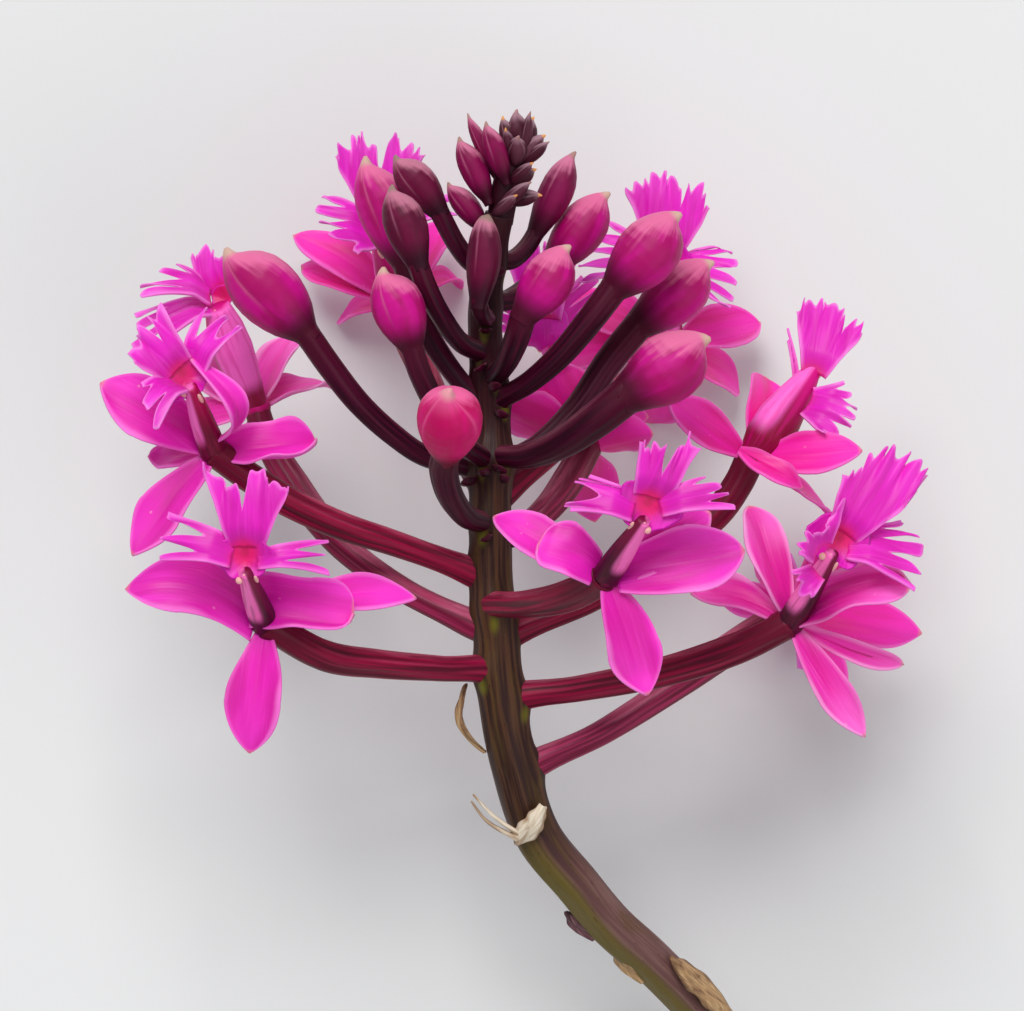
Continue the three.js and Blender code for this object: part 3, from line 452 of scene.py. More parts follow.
class Surface:
    """Grids of quads gathered into one mesh, with the values that its material reads at each point."""

    MARKS = ("edge", "along", "tint", "mask")

    def __init__(self):
        self.points = []
        self.grain = []
        self.marks = {name: [] for name in self.MARKS}
        self.faces = []
        self.count = 0

    def grid(self, points, grain, wrap=False, **marks):
        rows, columns = points.shape[:2]
        index = np.arange(rows * columns).reshape(rows, columns) + self.count
        left = index if wrap else index[:, :-1]
        right = np.roll(index, -1, axis=1) if wrap else index[:, 1:]
        quads = np.stack([left[:-1], right[:-1], right[1:], left[1:]], -1).reshape(-1, 4)
        self.faces.extend(quads.tolist())
        self.points.append(points.reshape(-1, 3))
        self.grain.append(np.broadcast_to(grain, points.shape).reshape(-1, 3))
        for name in self.MARKS:
            value = np.broadcast_to(marks.get(name, 0.0), (rows, columns))
            self.marks[name].append(value.reshape(-1).astype(float))
        self.count += rows * columns
        return index

    def caps(self, index, centres, grain, marks):
        """Close both ends of a wrapped grid, each with a fan round one more point."""
        for row, order in ((0, -1), (-1, 1)):
            ring = index[row]
            end = {name: value[row, :1, None] for name, value in marks.items()}
            middle = self.grid(centres[row].reshape(1, 1, 3), grain[row, :1, None], **end)[0, 0]
            fan = np.stack([ring, np.roll(ring, -1), np.full(len(ring), middle)], -1)[:, ::order]
            self.faces.extend(fan.tolist())

    def object(self, name, material, node):
        mesh = bpy.data.meshes.new(name)
        points = (np.concatenate(self.points) + CENTRE) * MM
        mesh.from_pydata(points.tolist(), [], self.faces)
        grain = mesh.attributes.new("grain", "FLOAT_VECTOR", "POINT")
        grain.data.foreach_set("vector", np.concatenate(self.grain).astype(np.float32).ravel())
        for mark, values in self.marks.items():
            attribute = mesh.attributes.new(mark, "FLOAT", "POINT")
            attribute.data.foreach_set("value", np.concatenate(values).astype(np.float32))
        mesh.polygons.foreach_set("use_smooth", [True] * len(mesh.polygons))
        mesh.materials.append(material)
        piece = put(name, mesh)
        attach(piece, "root")
        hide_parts(node)


def sheet(surface, middle, thickness, grain, **marks):
    """A thin closed sheet on both sides of a grid of middle points."""
    normal = np.cross(np.gradient(middle, axis=1), np.gradient(middle, axis=0))
    normal /= np.maximum(np.linalg.norm(normal, axis=2, keepdims=True), 1e-9)
    half = np.asarray(thickness)[..., None] / 2 * normal
    loop = np.concatenate([middle + half, (middle - half)[:, ::-1]], axis=1)
    both = {
        name: np.concatenate([value, value[:, ::-1]], axis=1)
        for name, value in ((key, np.broadcast_to(mark, middle.shape[:2])) for key, mark in marks.items())
    }
    folded = np.concatenate([grain, grain[:, ::-1]], axis=1)
    index = surface.grid(loop, folded, wrap=True, **both)
    columns = middle.shape[1]
    for row, turn in ((0, 1), (-1, -1)):
        top, bottom = index[row, :columns], index[row, columns:][::-1]
        ends = np.stack([top[:-1], bottom[:-1], bottom[1:], top[1:]], -1)[:, ::turn]
        surface.faces.extend(ends.tolist())


def smooth_path(points, count):
    """Points at even steps along a centripetal Catmull-Rom curve, as the solids' paths are."""
    points = vec(points)
    ghost = np.vstack([2 * points[0] - points[1], points, 2 * points[-1] - points[-2]])
    samples = []
    for i in range(len(points) - 1):
        p = ghost[i : i + 4]
        knot = np.concatenate([[0], np.cumsum(np.sqrt(np.linalg.norm(np.diff(p, axis=0), axis=1)))])
        t = np.linspace(knot[1], knot[2], SPAN_STEPS)[:, None]
        a = [
            ((knot[j + 1] - t) * p[j] + (t - knot[j]) * p[j + 1]) / (knot[j + 1] - knot[j])
            for j in range(3)
        ]
        b = [
            ((knot[j + 2] - t) * a[j] + (t - knot[j]) * a[j + 1]) / (knot[j + 2] - knot[j])
            for j in range(2)
        ]
        curve = ((knot[2] - t) * b[0] + (t - knot[1]) * b[1]) / (knot[2] - knot[1])
        samples.append(curve if i == 0 else curve[1:])
    curve = np.concatenate(samples)
    walked = np.concatenate([[0], np.cumsum(np.linalg.norm(np.diff(curve, axis=0), axis=1))])
    steps = np.linspace(0, walked[-1], count)
    return np.stack([np.interp(steps, walked, curve[:, k]) for k in range(3)], -1), walked[-1]


def frames_along(path):
    """Two directions across a path at each point, carried along it without twist."""
    tangent = np.gradient(path, axis=0)
    tangent /= np.linalg.norm(tangent, axis=1, keepdims=True)
    helper = np.eye(3)[np.argmin(np.abs(tangent[0]))]
    normal = unit(np.cross(tangent[0], helper))
    normals = []
    for direction in tangent:
        normal = unit(normal - direction * (normal @ direction))
        normals.append(normal)
    normals = np.array(normals)
    return normals, np.cross(tangent, normals)


def tube(surface, points, radii, grid, shape=None, **marks):
    """A closed tube. shape(share, angle, place) gives the radius as a multiple of the list's."""
    sides, rings = grid
    path, length = smooth_path(points, rings)
    normals, binormals = frames_along(path)
    share = np.linspace(0, 1, rings)[:, None]
    angle = np.linspace(0, 2 * math.pi, sides, endpoint=False)[None, :]
    radius = along_list(radii, share) * np.ones_like(angle)
    outward = normals[:, None] * np.cos(angle)[..., None] + binormals[:, None] * np.sin(angle)[..., None]
    if shape is not None:
        radius = radius * shape(share, angle, path[:, None] + outward * radius[..., None])
    around = path[:, None] + outward * radius[..., None]
    size = float(np.mean(radii))
    round_and_on = (size * np.cos(angle), size * np.sin(angle), TUBE_GRAIN * length * share)
    grain = np.stack([value + 0 * share + 0 * angle for value in round_and_on], -1) + GRAIN_SHIFT * path[0, 0]
    values = {"along": share, "edge": np.cos(angle)}
    for name, mark in marks.items():
        values[name] = mark(share, angle, around) if callable(mark) else mark
    values = {name: np.broadcast_to(value, (rings, sides)) for name, value in values.items()}
    index = surface.grid(around, grain, wrap=True, **values)
    surface.caps(index, path, grain, values)


def blade_frame(root, tip, front, roll=0.0):
    """A blade's length, and the directions along it, out of its face and across it."""
    axis = unit(tip - root)
    normal = unit(front - axis * (front @ axis))
    side = np.cross(axis, normal)
    turn = math.radians(roll)
    normal = normal * math.cos(turn) + np.cross(axis, normal) * math.sin(turn)
    return float(np.linalg.norm(tip - root)), axis, normal, np.cross(axis, normal)


def blade_grid(grid):
    return np.linspace(0, 1, grid[0])[:, None], np.linspace(-1, 1, grid[1])[None, :]


def blade_points(root, axis, side, normal, along, across, rise):
    return root + axis * along[..., None] + side * across[..., None] + normal * rise[..., None]


def tepal_outline(t, blunt=0.0, start=TEPAL_ROOT):
    """Half the width of a blade as a share of the greatest, from its root to its more or less blunt tip."""
    rising = start + (1 - start) * np.sin(np.pi / 2 * np.clip(t / TEPAL_WIDEST, 0, 1))
    rest = np.clip((t - TEPAL_WIDEST) / (1 - TEPAL_WIDEST), 0, 1)
    falling = (1 - rest ** (2.2 + 3 * blunt)) ** (0.9 - 0.4 * blunt) + 0.02
    return np.where(t < TEPAL_WIDEST, rising, falling)


def tepal(
    surface, base, tip, front, width, bow, cup, rng,
    roll=0.0, sway=0.0, blunt=0.0, fold=0.0, start=TEPAL_ROOT, shift=(0, 0, 0),
):
    """A sepal or petal: an arched blade with a shallow groove, waved margins and a pointed, curled tip.

    It is rolled about its axis by degrees and sways towards the top of the view. Its tip is the rounder, the
    nearer blunt is to 1. Its lower margin folds up, or its upper one where fold is negative. start is the
    share of its width that it has at its root, and shift moves the root.
    """
    root = base + unit(tip - base) * TEPAL_SEAT + shift
    length, axis, normal, side = blade_frame(root, tip, front, roll)
    up = 1.0 if side[1] > 0 else -1.0
    t, u = blade_grid(TEPAL_GRID)
    u = np.sin(u * math.pi / 2)
    wave, phase = rng.uniform(0.12, 0.3), rng.uniform(0, 2 * math.pi, 3)
    half = width / 2 * tepal_outline(t, blunt, start) * (1 + 0.035 * np.sin(9 * t + phase[0]) * np.sign(u))
    rise = bow * 4 * t * (1 - t) + cup * u**2 * half
    rise = rise - TEPAL_GROOVE * np.exp(-((u / 0.13) ** 2)) * np.sin(math.pi * np.clip(t * 1.05, 0, 1))
    waves = np.sin(2 * math.pi * (1.6 * t + 0.5 * (u > 0)) + phase[1])
    rise = rise + wave * np.abs(u) ** 3 * waves * half / 2
    rise = rise + 0.06 * np.sin(5.2 * u + 7 * t + phase[2]) * np.sin(math.pi * t)
    turned = smoothstep(0.5, 1.0, -u * up * (1 if fold >= 0 else -1)) * smoothstep(0.15, 0.5, t)
    rise = rise + abs(fold) * turned
    curl = rng.uniform(-0.9, 0.9) * smoothstep(0.7, 1.0, t) ** 2
    across = u * half * (1 - 0.25 * turned * min(1.0, abs(fold))) + up * sway * 4 * t * (1 - t)
    middle = blade_points(root, axis, side, normal, length * t, across, rise + curl)
    thickness = 0.2 + 0.26 * (1 - u**2) * (1 - 0.6 * t)
    grain = np.stack([u * half, BLADE_GRAIN * length * t + 0 * u, rng.uniform(0, 50) + 0 * t * u], -1)
    from_margin = (1 - np.abs(u)) * half
    sheet(
        surface, middle, thickness, grain, edge=np.clip(1 - from_margin / RIM_WIDTH, 0, 1), along=t + 0 * u,
        tint=rng.uniform(0, 1), mask=turned,
    )


def seen_from_above(root, axis, side, tips):
    """Where tips that are given as seen from above lie in a lobe's own plane: across it and along it."""
    plan = np.stack([side[:2], axis[:2]], -1)
    return (np.array(tips, float) - root[:2]) @ np.linalg.inv(plan).T


def even_tips(length, width, teeth):
    """Tips spread evenly over a lobe's fan, across it and along it."""
    turn = np.linspace(-1, 1, teeth)
    return np.stack([width / 2 * turn, length * (1 - 0.2 * turn**2)], -1)


def lip_lobe(surface, heart, lobe, front, kind, rng):
    """A lobe of the lip: a ruffled fan that narrows to its neck, and is slit into fingers at its margin."""
    tip, bow, fingers, *own = lobe
    own = own[0] if own else {}
    heart = vec(own.get("root", heart))
    length, axis, normal, side = blade_frame(heart, vec(tip), front)
    if isinstance(fingers, tuple):
        flat = even_tips(length, *fingers)
    else:
        flat = seen_from_above(heart, axis, side, fingers)
    flat = flat[np.argsort(flat[:, 0] / (flat[:, 1] + 4))] + rng.normal(0, 0.06, flat.shape)
    neck, slit = own.get("neck", LOBE_NECK[kind]), own.get("slit", LOBE_SLIT[kind])
    spread = abs(flat[-1, 0] - flat[0, 0]) + 0.4
    far = (flat[0, 1] + flat[-1, 1]) / 2
    back = float(np.clip((neck * far - NECK_AT * spread) / max(spread - neck, 0.1), 1.2, 9.0))
    angle = np.arctan2(flat[:, 0], flat[:, 1] + back)
    reach = np.hypot(flat[:, 0], flat[:, 1] + back)
    order = np.argsort(angle)
    angle, reach = angle[order], reach[order]
    margin = 0.2 / reach.mean()
    theta = np.linspace(angle[0] - margin, angle[-1] + margin, LOBE_GRID[1])
    cut = np.interp(theta, angle, reach)
    for low, high, near, following in zip(angle[:-1], angle[1:], reach[:-1], reach[1:]):
        phase = np.abs(2 * (theta - low) / max(high - low, 1e-3) - 1)
        depth = rng.uniform(*slit) * (min(near, following) - back - NECK_AT)
        cut = cut - depth * (1 - smoothstep(*LOBE_FINGER[kind], phase))
    notch = own.get("notch")
    if notch:
        ahead = [0, length * NOTCH_DEPTH]
        x, y = ahead if notch is True else seen_from_above(heart, axis, side, [notch])[0]
        centre, low = math.atan2(x, y + back), math.hypot(x, y + back)
        cut = np.minimum(cut, low + np.abs(theta - centre) * low * NOTCH_STEEPNESS)
    frays = np.abs(np.sin(theta * cut * math.pi / 2 / FRAY_STEP + rng.uniform(0, 3)))
    cut = cut - LOBE_FRAY[kind] * frays * np.interp(theta, angle, rng.uniform(0.3, 1, angle.size))
    start = back + LOBE_START
    s = np.linspace(0, 1, LOBE_GRID[0])[:, None]
    share = 1 - (1 - s) ** 1.3
    radius = start + (cut - start)[None, :] * share
    across, along = radius * np.sin(theta), radius * np.cos(theta) - back
    out = np.clip(along / length, 0, 1.2)
    phase = rng.uniform(0, 2 * math.pi, 3)
    fine = 0.7 * out**4 * np.sin(across * 5 + phase[1])
    ruffle = LOBE_RUFFLE * (out**2 * np.sin(across * 1.9 + phase[0]) + fine)
    curls = rng.uniform(-1, 1, angle.size) * FINGER_CURL[kind]
    beyond = smoothstep(0.62, 1.05, radius / np.interp(theta, angle, reach)) ** 1.5
    dip = LOBE_DIP * (1 - smoothstep(LOBE_START, LOBE_RISEN, radius - back))
    lift = DISC_RISE - dip + bow * 4 * out * (1 - out) + ruffle + beyond * np.interp(theta, angle, curls)
    sway = 0.3 * beyond * np.sin(across * 3 + phase[2])
    middle = blade_points(heart, axis, side, normal, along, across + sway, lift)
    thickness = 0.16 + 0.2 * (1 - share) + 0 * radius
    grain = np.stack([across, BLADE_GRAIN * along, rng.uniform(0, 50) + 0 * along], -1)
    from_margin = np.minimum(cut - radius, np.minimum(theta - theta[0], theta[-1] - theta) * radius)
    ahead = THROAT_FORWARD if kind == "middle" else 0.0
    glow = np.exp(-((np.hypot(across, along - ahead) / THROAT_RADIUS) ** 2))
    sheet(
        surface, middle, thickness, grain, edge=np.clip(1 - from_margin / RIM_WIDTH, 0, 1),
        along=np.clip(along / length, 0, 1), tint=rng.uniform(0, 1), mask=glow,
    )


def disc(surface, heart, axis, normal, side, radius, rng):
    """The lip's disc: a shallow waved bowl round the reddish throat, where its three lobes meet."""
    s = np.linspace(-0.985, 0.985, DISC_GRID[0])[:, None]
    turn = np.linspace(0, 2 * math.pi, DISC_GRID[1], endpoint=False)[None, :]
    out = (1 - np.abs(s)) * np.ones_like(turn)
    phase = rng.uniform(0, 2 * math.pi)
    trim = 1 - DISC_TRIM * np.maximum(0, -np.sin(turn))
    far = radius * out * trim * (1 + 0.06 * np.sin(5 * turn + phase) + 0.04 * np.sin(8 * turn))
    under = -0.22 * (s < 0) * (1 - out**6)
    height = DISC_DEPTH * (out**1.6 - 1) + 0.18 * out**3 * np.sin(3 * turn + phase) + under + 0.12
    across, along = far * np.cos(turn), far * np.sin(turn)
    ring = heart + (side * across[..., None] + axis * along[..., None]) + normal * height[..., None]
    grain = np.stack([across, 0.5 * far * np.sin(turn), phase + 0 * far], -1)
    off_throat = np.hypot(across, along - THROAT_FORWARD)
    throat = np.exp(-((off_throat / THROAT_RADIUS) ** 2)) * (s > 0)
    marks = {"mask": throat, "edge": 0 * far, "along": 0.3 * out, "tint": 0.5 + 0 * far}
    index = surface.grid(ring, grain, wrap=True, **marks)
    surface.caps(index, [ring[0].mean(0), ring[-1].mean(0)], grain, marks)


def blob(surface, centre, direction, radius, long, mask, grid):
    """A small rounded knob that is longer in one direction."""
    direction = unit(direction)
    ends = [centre - direction * long, centre, centre + direction * long]
    curve = [math.sqrt(max(0.0, 1 - x * x)) for x in np.linspace(-1, 1, 9)]
    tube(surface, ends, [radius * max(0.03, value) for value in curve], grid, mask=mask)


def column(surface, flower):
    """The column, fused with the lip's claw into a tube that is pale on one flank, and its calli."""
    base, mouth = vec(flower["base"]), vec(flower["mouth"])
    front = vec(flower.get("lip_front", flower["front"]))
    length, axis, normal, side = blade_frame(base, mouth, front)
    flank = flower.get("flank", -1) * side * (1 if side[0] > 0 else -1)
    blob(surface, base, axis, HUB_RADIUS, HUB_RADIUS, 0.0, HUB_GRID)
    radii = flower.get("tube", COLUMN_RADII)

    def paleness(share, angle, place):
        middle = base + (mouth - base) * np.clip(share, 0, 1)[..., None]
        turned = (place - middle) @ flank / along_list(radii, share)
        return 0.6 * smoothstep(-0.55, 0.35, turned) * smoothstep(0.08, 0.4, share)

    middle = (base + mouth) / 2 + normal * 0.4
    tube(
        surface, [base, middle, mouth + axis * 0.2 + normal * COLUMN_RISE], radii, COLUMN_GRID,
        lambda share, angle, place: 1 + 0.05 * np.cos(3 * angle + 2 * share), mask=paleness,
    )
    for turn, back, radius, long in CALLI:
        callus = mouth + flank * (0.8 * turn) + normal * (0.36 * radii[-1] + COLUMN_RISE) - axis * back
        blob(surface, callus, axis + 0.25 * normal, radius, long, 1.0, CALLUS_GRID)


STEM_AXIS = smooth_path(STEM_PATH, AXIS_STEPS)[0]


def rooted(grown):
    """A stalk's path. It starts in the middle of the stem, a little below the place where it leaves it."""
    nearest = STEM_AXIS[np.argmin(np.linalg.norm(STEM_AXIS - vec(grown["stalk"][0]), axis=1))]
    return [nearest + STALK_SINK, *grown["stalk"], grown["base"]]


def ridges(depth):
    """The six flutes of an ovary, which fade towards the stalk's foot, where it flares onto the stem."""
    def shape(share, angle, place):
        grow = smoothstep(0.0, 0.6, share) * smoothstep(1.0, 0.9, share)
        flute = 1 - depth * (0.35 + 0.65 * grow) * (0.5 + 0.5 * np.cos(FLUTES * angle)) ** 2
        return flute * (1 + 0.2 * np.exp(-(((share - 0.06) / 0.08) ** 2)))
    return shape


def seam(angle, width):
    """How far round its sepal a place on a bud is, and how near it is to the groove between two of them."""
    turn = (angle / (2 * math.pi) * 3) % 1.0
    return turn, np.exp(-((np.minimum(turn, 1 - turn) / width) ** 2))


def bud_shape(share, angle, place):
    """Three sepals that meet in grooves, each lapping a little over the next one."""
    turn, groove = seam(angle, 0.035)
    lap = 0.04 * (1 - turn) * smoothstep(0.1, 0.5, share)
    return 1 + 0.03 * np.cos(3 * (angle + math.pi)) + lap - 0.05 * groove * smoothstep(0.05, 0.4, share)


def seam_mark(share, angle, place):
    return seam(angle, 0.03)[1] * smoothstep(0.3, 0.75, share)


def bud(surface, base, tip, radius, grid, foot=0.0, blunt=0.0, beak=1.0):
    """A tear-drop bud. Its tip is rounded where blunt is 1, and its beak is pale where beak is near 1."""
    shares, outline = (np.array(values) for values in zip(*BUD_OUTLINE))
    dome = np.sqrt(np.clip(1 - ((shares - 0.55) / 0.45) ** 2, 0, 1))
    outline = np.where(shares > 0.55, outline + (np.maximum(dome, 0.06) - outline) * blunt, outline)
    foot = foot or SMALL_FOOT_SHARE * radius
    even = np.linspace(0, 1, BUD_STEPS)
    widths = (0.9 * foot, 1.04 * foot, *(radius * value for value in outline))
    radii = np.interp(even, (0, 0.08, *shares), widths)
    base, tip = vec(base), vec(tip)
    across = unit(np.cross(tip - base, [0.3, 0.2, 1]))
    middle = (base + tip) / 2 + across * 0.1 * radius
    end = tip + across * 0.12 * radius
    path = [base - unit(tip - base) * BUD_SINK, middle, tip * 0.9 + base * 0.1, end]
    tube(surface, path, radii, grid, bud_shape, tint=beak, mask=seam_mark)


# Where each stalk leaves the stem, and which way
INSERTIONS = []
for grown in FLOWERS + BUDS:
    start, onward = map(vec, grown["stalk"][:2])
    INSERTIONS.append((start, unit(onward - start)))


def stem_shape(share, angle, place):
    """Bumps where stalks leave the stem, and low ribs along it."""
    scale = 1 + 0.018 * np.cos(5 * angle + 3 * share) + 0.012 * np.cos(9 * angle - 11 * share)
    for start, onward in INSERTIONS:
        apart = np.linalg.norm(place - (start + onward * BUMP_FORWARD), axis=-1)
        scale = scale + BUMP_RISE * np.exp(-((apart / BUMP_RADIUS) ** 2))
    return scale


def olive_mark(share, angle, place):
    """Olive green shows in a small patch below each stalk's foot."""
    mark = 0 * place[..., 0]
    for start, onward in INSERTIONS:
        patch = start + onward * BUMP_FORWARD + OLIVE_AT
        apart = np.linalg.norm((place - patch) * OLIVE_STRETCH, axis=-1)
        mark = mark + np.exp(-(apart**2))
    return np.clip(mark, 0, 1)


def scale_leaf(surface, root, tip, rng):
    """A tiny pointed bract."""
    length, axis, normal, side = blade_frame(root, tip, vec(SCALE_FACING))
    t, u = blade_grid(SCALE_GRID)
    half = 0.6 * tepal_outline(t, 0.0, 0.7)
    rise = 0.3 * np.sin(math.pi * t) - 0.6 * u**2 * half
    middle = blade_points(root, axis, side, normal, length * t, u * half, rise)
    grain = np.stack([u * half, t * length + 0 * u, rng.uniform(0, 50) + 0 * t * u], -1)
    keel = np.exp(-((u / 0.3) ** 2)) + 0 * t
    sheet(surface, middle, 0.22 + 0 * t * u, grain, along=0.3 + 0.7 * t + 0 * u, mask=keel)


def lower_left(share, angle, place):
    """How far a place on the stem faces down and to the left, where the peduncle keeps its green."""
    centre = place.mean(1, keepdims=True)
    way = (place - centre) @ unit(vec([-0.8, -0.45, 0.4]))
    return smoothstep(0.2, 1.6, way) * smoothstep(0.5, 0.62, share)


def linear(colour):
    """An sRGB colour, 0 to 255, as the linear values that Blender wants."""
    return tuple(
        value / 12.92 if value <= 0.04045 else ((value + 0.055) / 1.055) ** 2.4
        for value in (level / 255 for level in colour)
    )


class Shader:
    """A material whose colour is laid on in layers, with short ways to make and join its nodes."""

    def __init__(self, name):
        self.material = bpy.data.materials.new(name)
        self.material.use_nodes = True
        self.tree = self.material.node_tree
        self.out = self.tree.nodes["Principled BSDF"]
        self.colour = None

    def set(self, socket, value):
        if isinstance(value, bpy.types.NodeSocket):
            self.tree.links.new(value, socket)
        else:
            socket.default_value = value

    def node(self, kind, inputs=(), **settings):
        made = self.tree.nodes.new(kind)
        for key, value in settings.items():
            setattr(made, key, value)
        for socket, value in dict(inputs).items():
            self.set(made.inputs[socket], value)
        return made

    def mark(self, name):
        return self.node("ShaderNodeAttribute", attribute_name=name).outputs["Fac"]

    def grain(self, scale=(1, 1, 1)):
        source = self.node("ShaderNodeAttribute", attribute_name="grain").outputs["Vector"]
        return self.node("ShaderNodeVectorMath", {0: source, 1: scale}, operation="MULTIPLY").outputs[0]

    def noise(self, vector, scale, detail=3.0, distortion=0.0):
        inputs = {"Vector": vector, "Scale": scale, "Detail": detail, "Distortion": distortion}
        return self.node("ShaderNodeTexNoise", inputs).outputs["Fac"]

    def span(self, value, low, high, to_low=0.0, to_high=1.0):
        inputs = {"Value": value, "From Min": low, "From Max": high, "To Min": to_low, "To Max": to_high}
        return self.node("ShaderNodeMapRange", inputs, interpolation_type="SMOOTHSTEP").outputs["Result"]

    def math(self, operation, a, b):
        return self.node("ShaderNodeMath", {0: a, 1: b}, operation=operation).outputs[0]

    def product(self, a, b):
        return self.math("MULTIPLY", a, b)

    def towards_top(self):
        """How far the surface faces the top of the view."""
        normal = self.node("ShaderNodeNewGeometry").outputs["Normal"]
        return self.node("ShaderNodeSeparateXYZ", {0: normal}).outputs["Y"]

    def mix(self, factor, *colours):
        made = self.node("ShaderNodeMix", data_type="RGBA")
        self.set(made.inputs[0], factor)
        for socket, colour in zip(made.inputs[6:8], colours):
            self.set(socket, (*linear(colour), 1.0) if isinstance(colour, tuple) else colour)
        return made.outputs[2]

    def start(self, value, low, high, first, second):
        """The ground colour, which goes over from the first to the second one."""
        self.colour = self.mix(self.span(value, low, high), first, second)

    def lay(self, factor, colour):
        self.colour = self.mix(factor, self.colour, colour)

    def paint(self, value, low, high, colour, strength=1.0):
        """Lay a colour on where the value is near the high end of its span."""
        self.lay(self.span(value, low, high, 0.0, strength), colour)

    def bump(self, height, strength, distance):
        inputs = {"Height": height, "Strength": strength, "Distance": distance * MM}
        self.set(self.out.inputs["Normal"], self.node("ShaderNodeBump", inputs).outputs["Normal"])

    def finish(self, roughness, **settings):
        self.set(self.out.inputs["Base Color"], self.colour)
        self.set(self.out.inputs["Roughness"], roughness)
        for name, value in settings.items():
            self.out.inputs[name.replace("_", " ").title().replace("Ior", "IOR")].default_value = value
        return self.material


VELVET = {
    "subsurface_weight": 0.1, "subsurface_radius": (1.6 * MM, 0.3 * MM, 0.9 * MM), "subsurface_scale": 1.0,
    "sheen_weight": 0.08, "specular_ior_level": 0.4,
}


def petal_material(name, deep, vivid, pale, rim, speckles=0.35):
    """Velvety petal: deeper heart, fine veins along it, paler tip, a thin pale margin and a few specks."""
    shader = Shader(name)
    edge, along, tint, turned = map(shader.mark, ("edge", "along", "tint", "mask"))
    cloud = shader.noise(shader.grain(), 0.3, 2.0, 0.5)
    veins = shader.noise(shader.grain((4.2, 0.55, 1)), 1.0, 3.0, 0.2)
    shader.start(cloud, 0.36, 0.66, deep, vivid)
    shader.paint(veins, 0.52, 0.7, pale, 0.22)
    shader.paint(veins, 0.46, 0.3, deep, 0.3)
    outer = shader.span(along, 0.35, 0.95, 0.0, 0.75)
    shader.lay(shader.product(outer, shader.span(cloud, 0.34, 0.6, 0.25, 1.0)), pale)
    margin = shader.span(edge, 0.35, 1.0)
    shader.lay(shader.product(margin, shader.span(tint, 0.0, 1.0, 0.4, 0.75)), rim)
    shader.paint(along, 0.95, 1.0, (230, 140, 110), 0.7)
    shader.paint(turned, 0.4, 1.0, rim, 0.6)
    cells = {"Vector": shader.grain((1, 3.4, 1)), "Scale": 0.8, "Randomness": 1.0}
    dots = shader.span(shader.node("ShaderNodeTexVoronoi", cells).outputs["Distance"], 0.13, 0.06)
    shader.lay(shader.product(dots, shader.span(cloud, 0.52, 0.6, 0.0, speckles)), (255, 190, 200))
    shader.bump(veins, 0.4, 0.12)
    return shader.finish(shader.span(cloud, 0.3, 0.7, 0.42, 0.58), **VELVET)


def lip_material(name, deep, vivid, pale, rim, throat):
    """Lip: vivid disc, reddish throat that darkens inwards, and fingers with pale frosted margins."""
    shader = Shader(name)
    edge, along, mouth = map(shader.mark, ("edge", "along", "mask"))
    cloud = shader.noise(shader.grain(), 0.5, 2.0, 0.8)
    veins = shader.noise(shader.grain((3.6, 0.6, 1)), 1.1, 3.0, 0.3)
    shader.start(cloud, 0.35, 0.68, deep, vivid)
    shader.paint(veins, 0.5, 0.7, pale, 0.25)
    shader.paint(along, 0.62, 1.0, pale, 0.5)
    shader.paint(edge, 0.3, 1.0, rim, 0.6)
    shader.paint(mouth, 0.12, 0.8, throat)
    shader.paint(mouth, 0.85, 1.0, (176, 0, 60), 0.5)
    shader.bump(veins, 0.4, 0.12)
    return shader.finish(0.46, **VELVET)


def column_material(name, dark, rose, pale):
    """Column: near-black maroon at its foot, rose towards the mouth, pale flank, salmon calli."""
    shader = Shader(name)
    along, mark = map(shader.mark, ("along", "mask"))
    streaks = shader.noise(shader.grain((2.4, 2.4, 0.7)), 1.0, 3.0, 0.2)
    shader.start(along, 0.3, 0.95, dark, rose)
    shader.lay(shader.product(shader.span(streaks, 0.5, 0.7), 0.3), rose)
    shader.paint(mark, 0.1, 0.58, pale)
    shader.paint(streaks, 0.5, 0.34, rose, 0.4)
    shader.paint(mark, 0.7, 0.95, (244, 178, 172))
    shader.bump(streaks, 0.3, 0.1)
    return shader.finish(
        0.46, subsurface_weight=0.08, subsurface_radius=(MM, 0.3 * MM, 0.5 * MM), specular_ior_level=0.25
    )


def stalk_material(name, dark, ruby, dusty_pink_highlight, top):
    """Fluted stalk: maroon, darker in streaks along it, with a painted pale pink highlight where it faces the
    top of the view, where the light comes from, and towards its top end a painted shade under a flower on the
    pedicels and the colour of the bud's foot on the bud stalks.
    """
    shader = Shader(name)
    along = shader.mark("along")
    streaks = shader.noise(shader.grain((2.2, 2.2, 0.3)), 1.0, 4.0, 0.2)
    patches = shader.noise(shader.grain((0.8, 0.8, 0.5)), 1.0, 2.0, 0.5)
    grit = shader.noise(shader.grain((7, 7, 3)), 1.0, 2.0)
    # Painted highlight: pale pink laid on where the stalk faces the top of the view, where the light comes
    # from
    lit = shader.span(shader.towards_top(), 0.15, 0.9)
    shader.start(streaks, 0.38, 0.66, dark, ruby)
    painted_top_highlight = shader.product(lit, shader.span(patches, 0.35, 0.6, 0.2, 0.85))
    shader.lay(shader.product(painted_top_highlight, shader.span(grit, 0.3, 0.6, 0.55, 1.0)), dusty_pink_highlight)
    # Towards the top end: on the pedicels a painted shade under the flower, on the bud stalks the colour of
    # the bud's foot
    shader.paint(along, 0.72, 0.93, top, 0.85)
    shader.bump(streaks, 0.5, 0.15)
    return shader.finish(shader.span(patches, 0.3, 0.7, 0.36, 0.5), specular_ior_level=0.2)


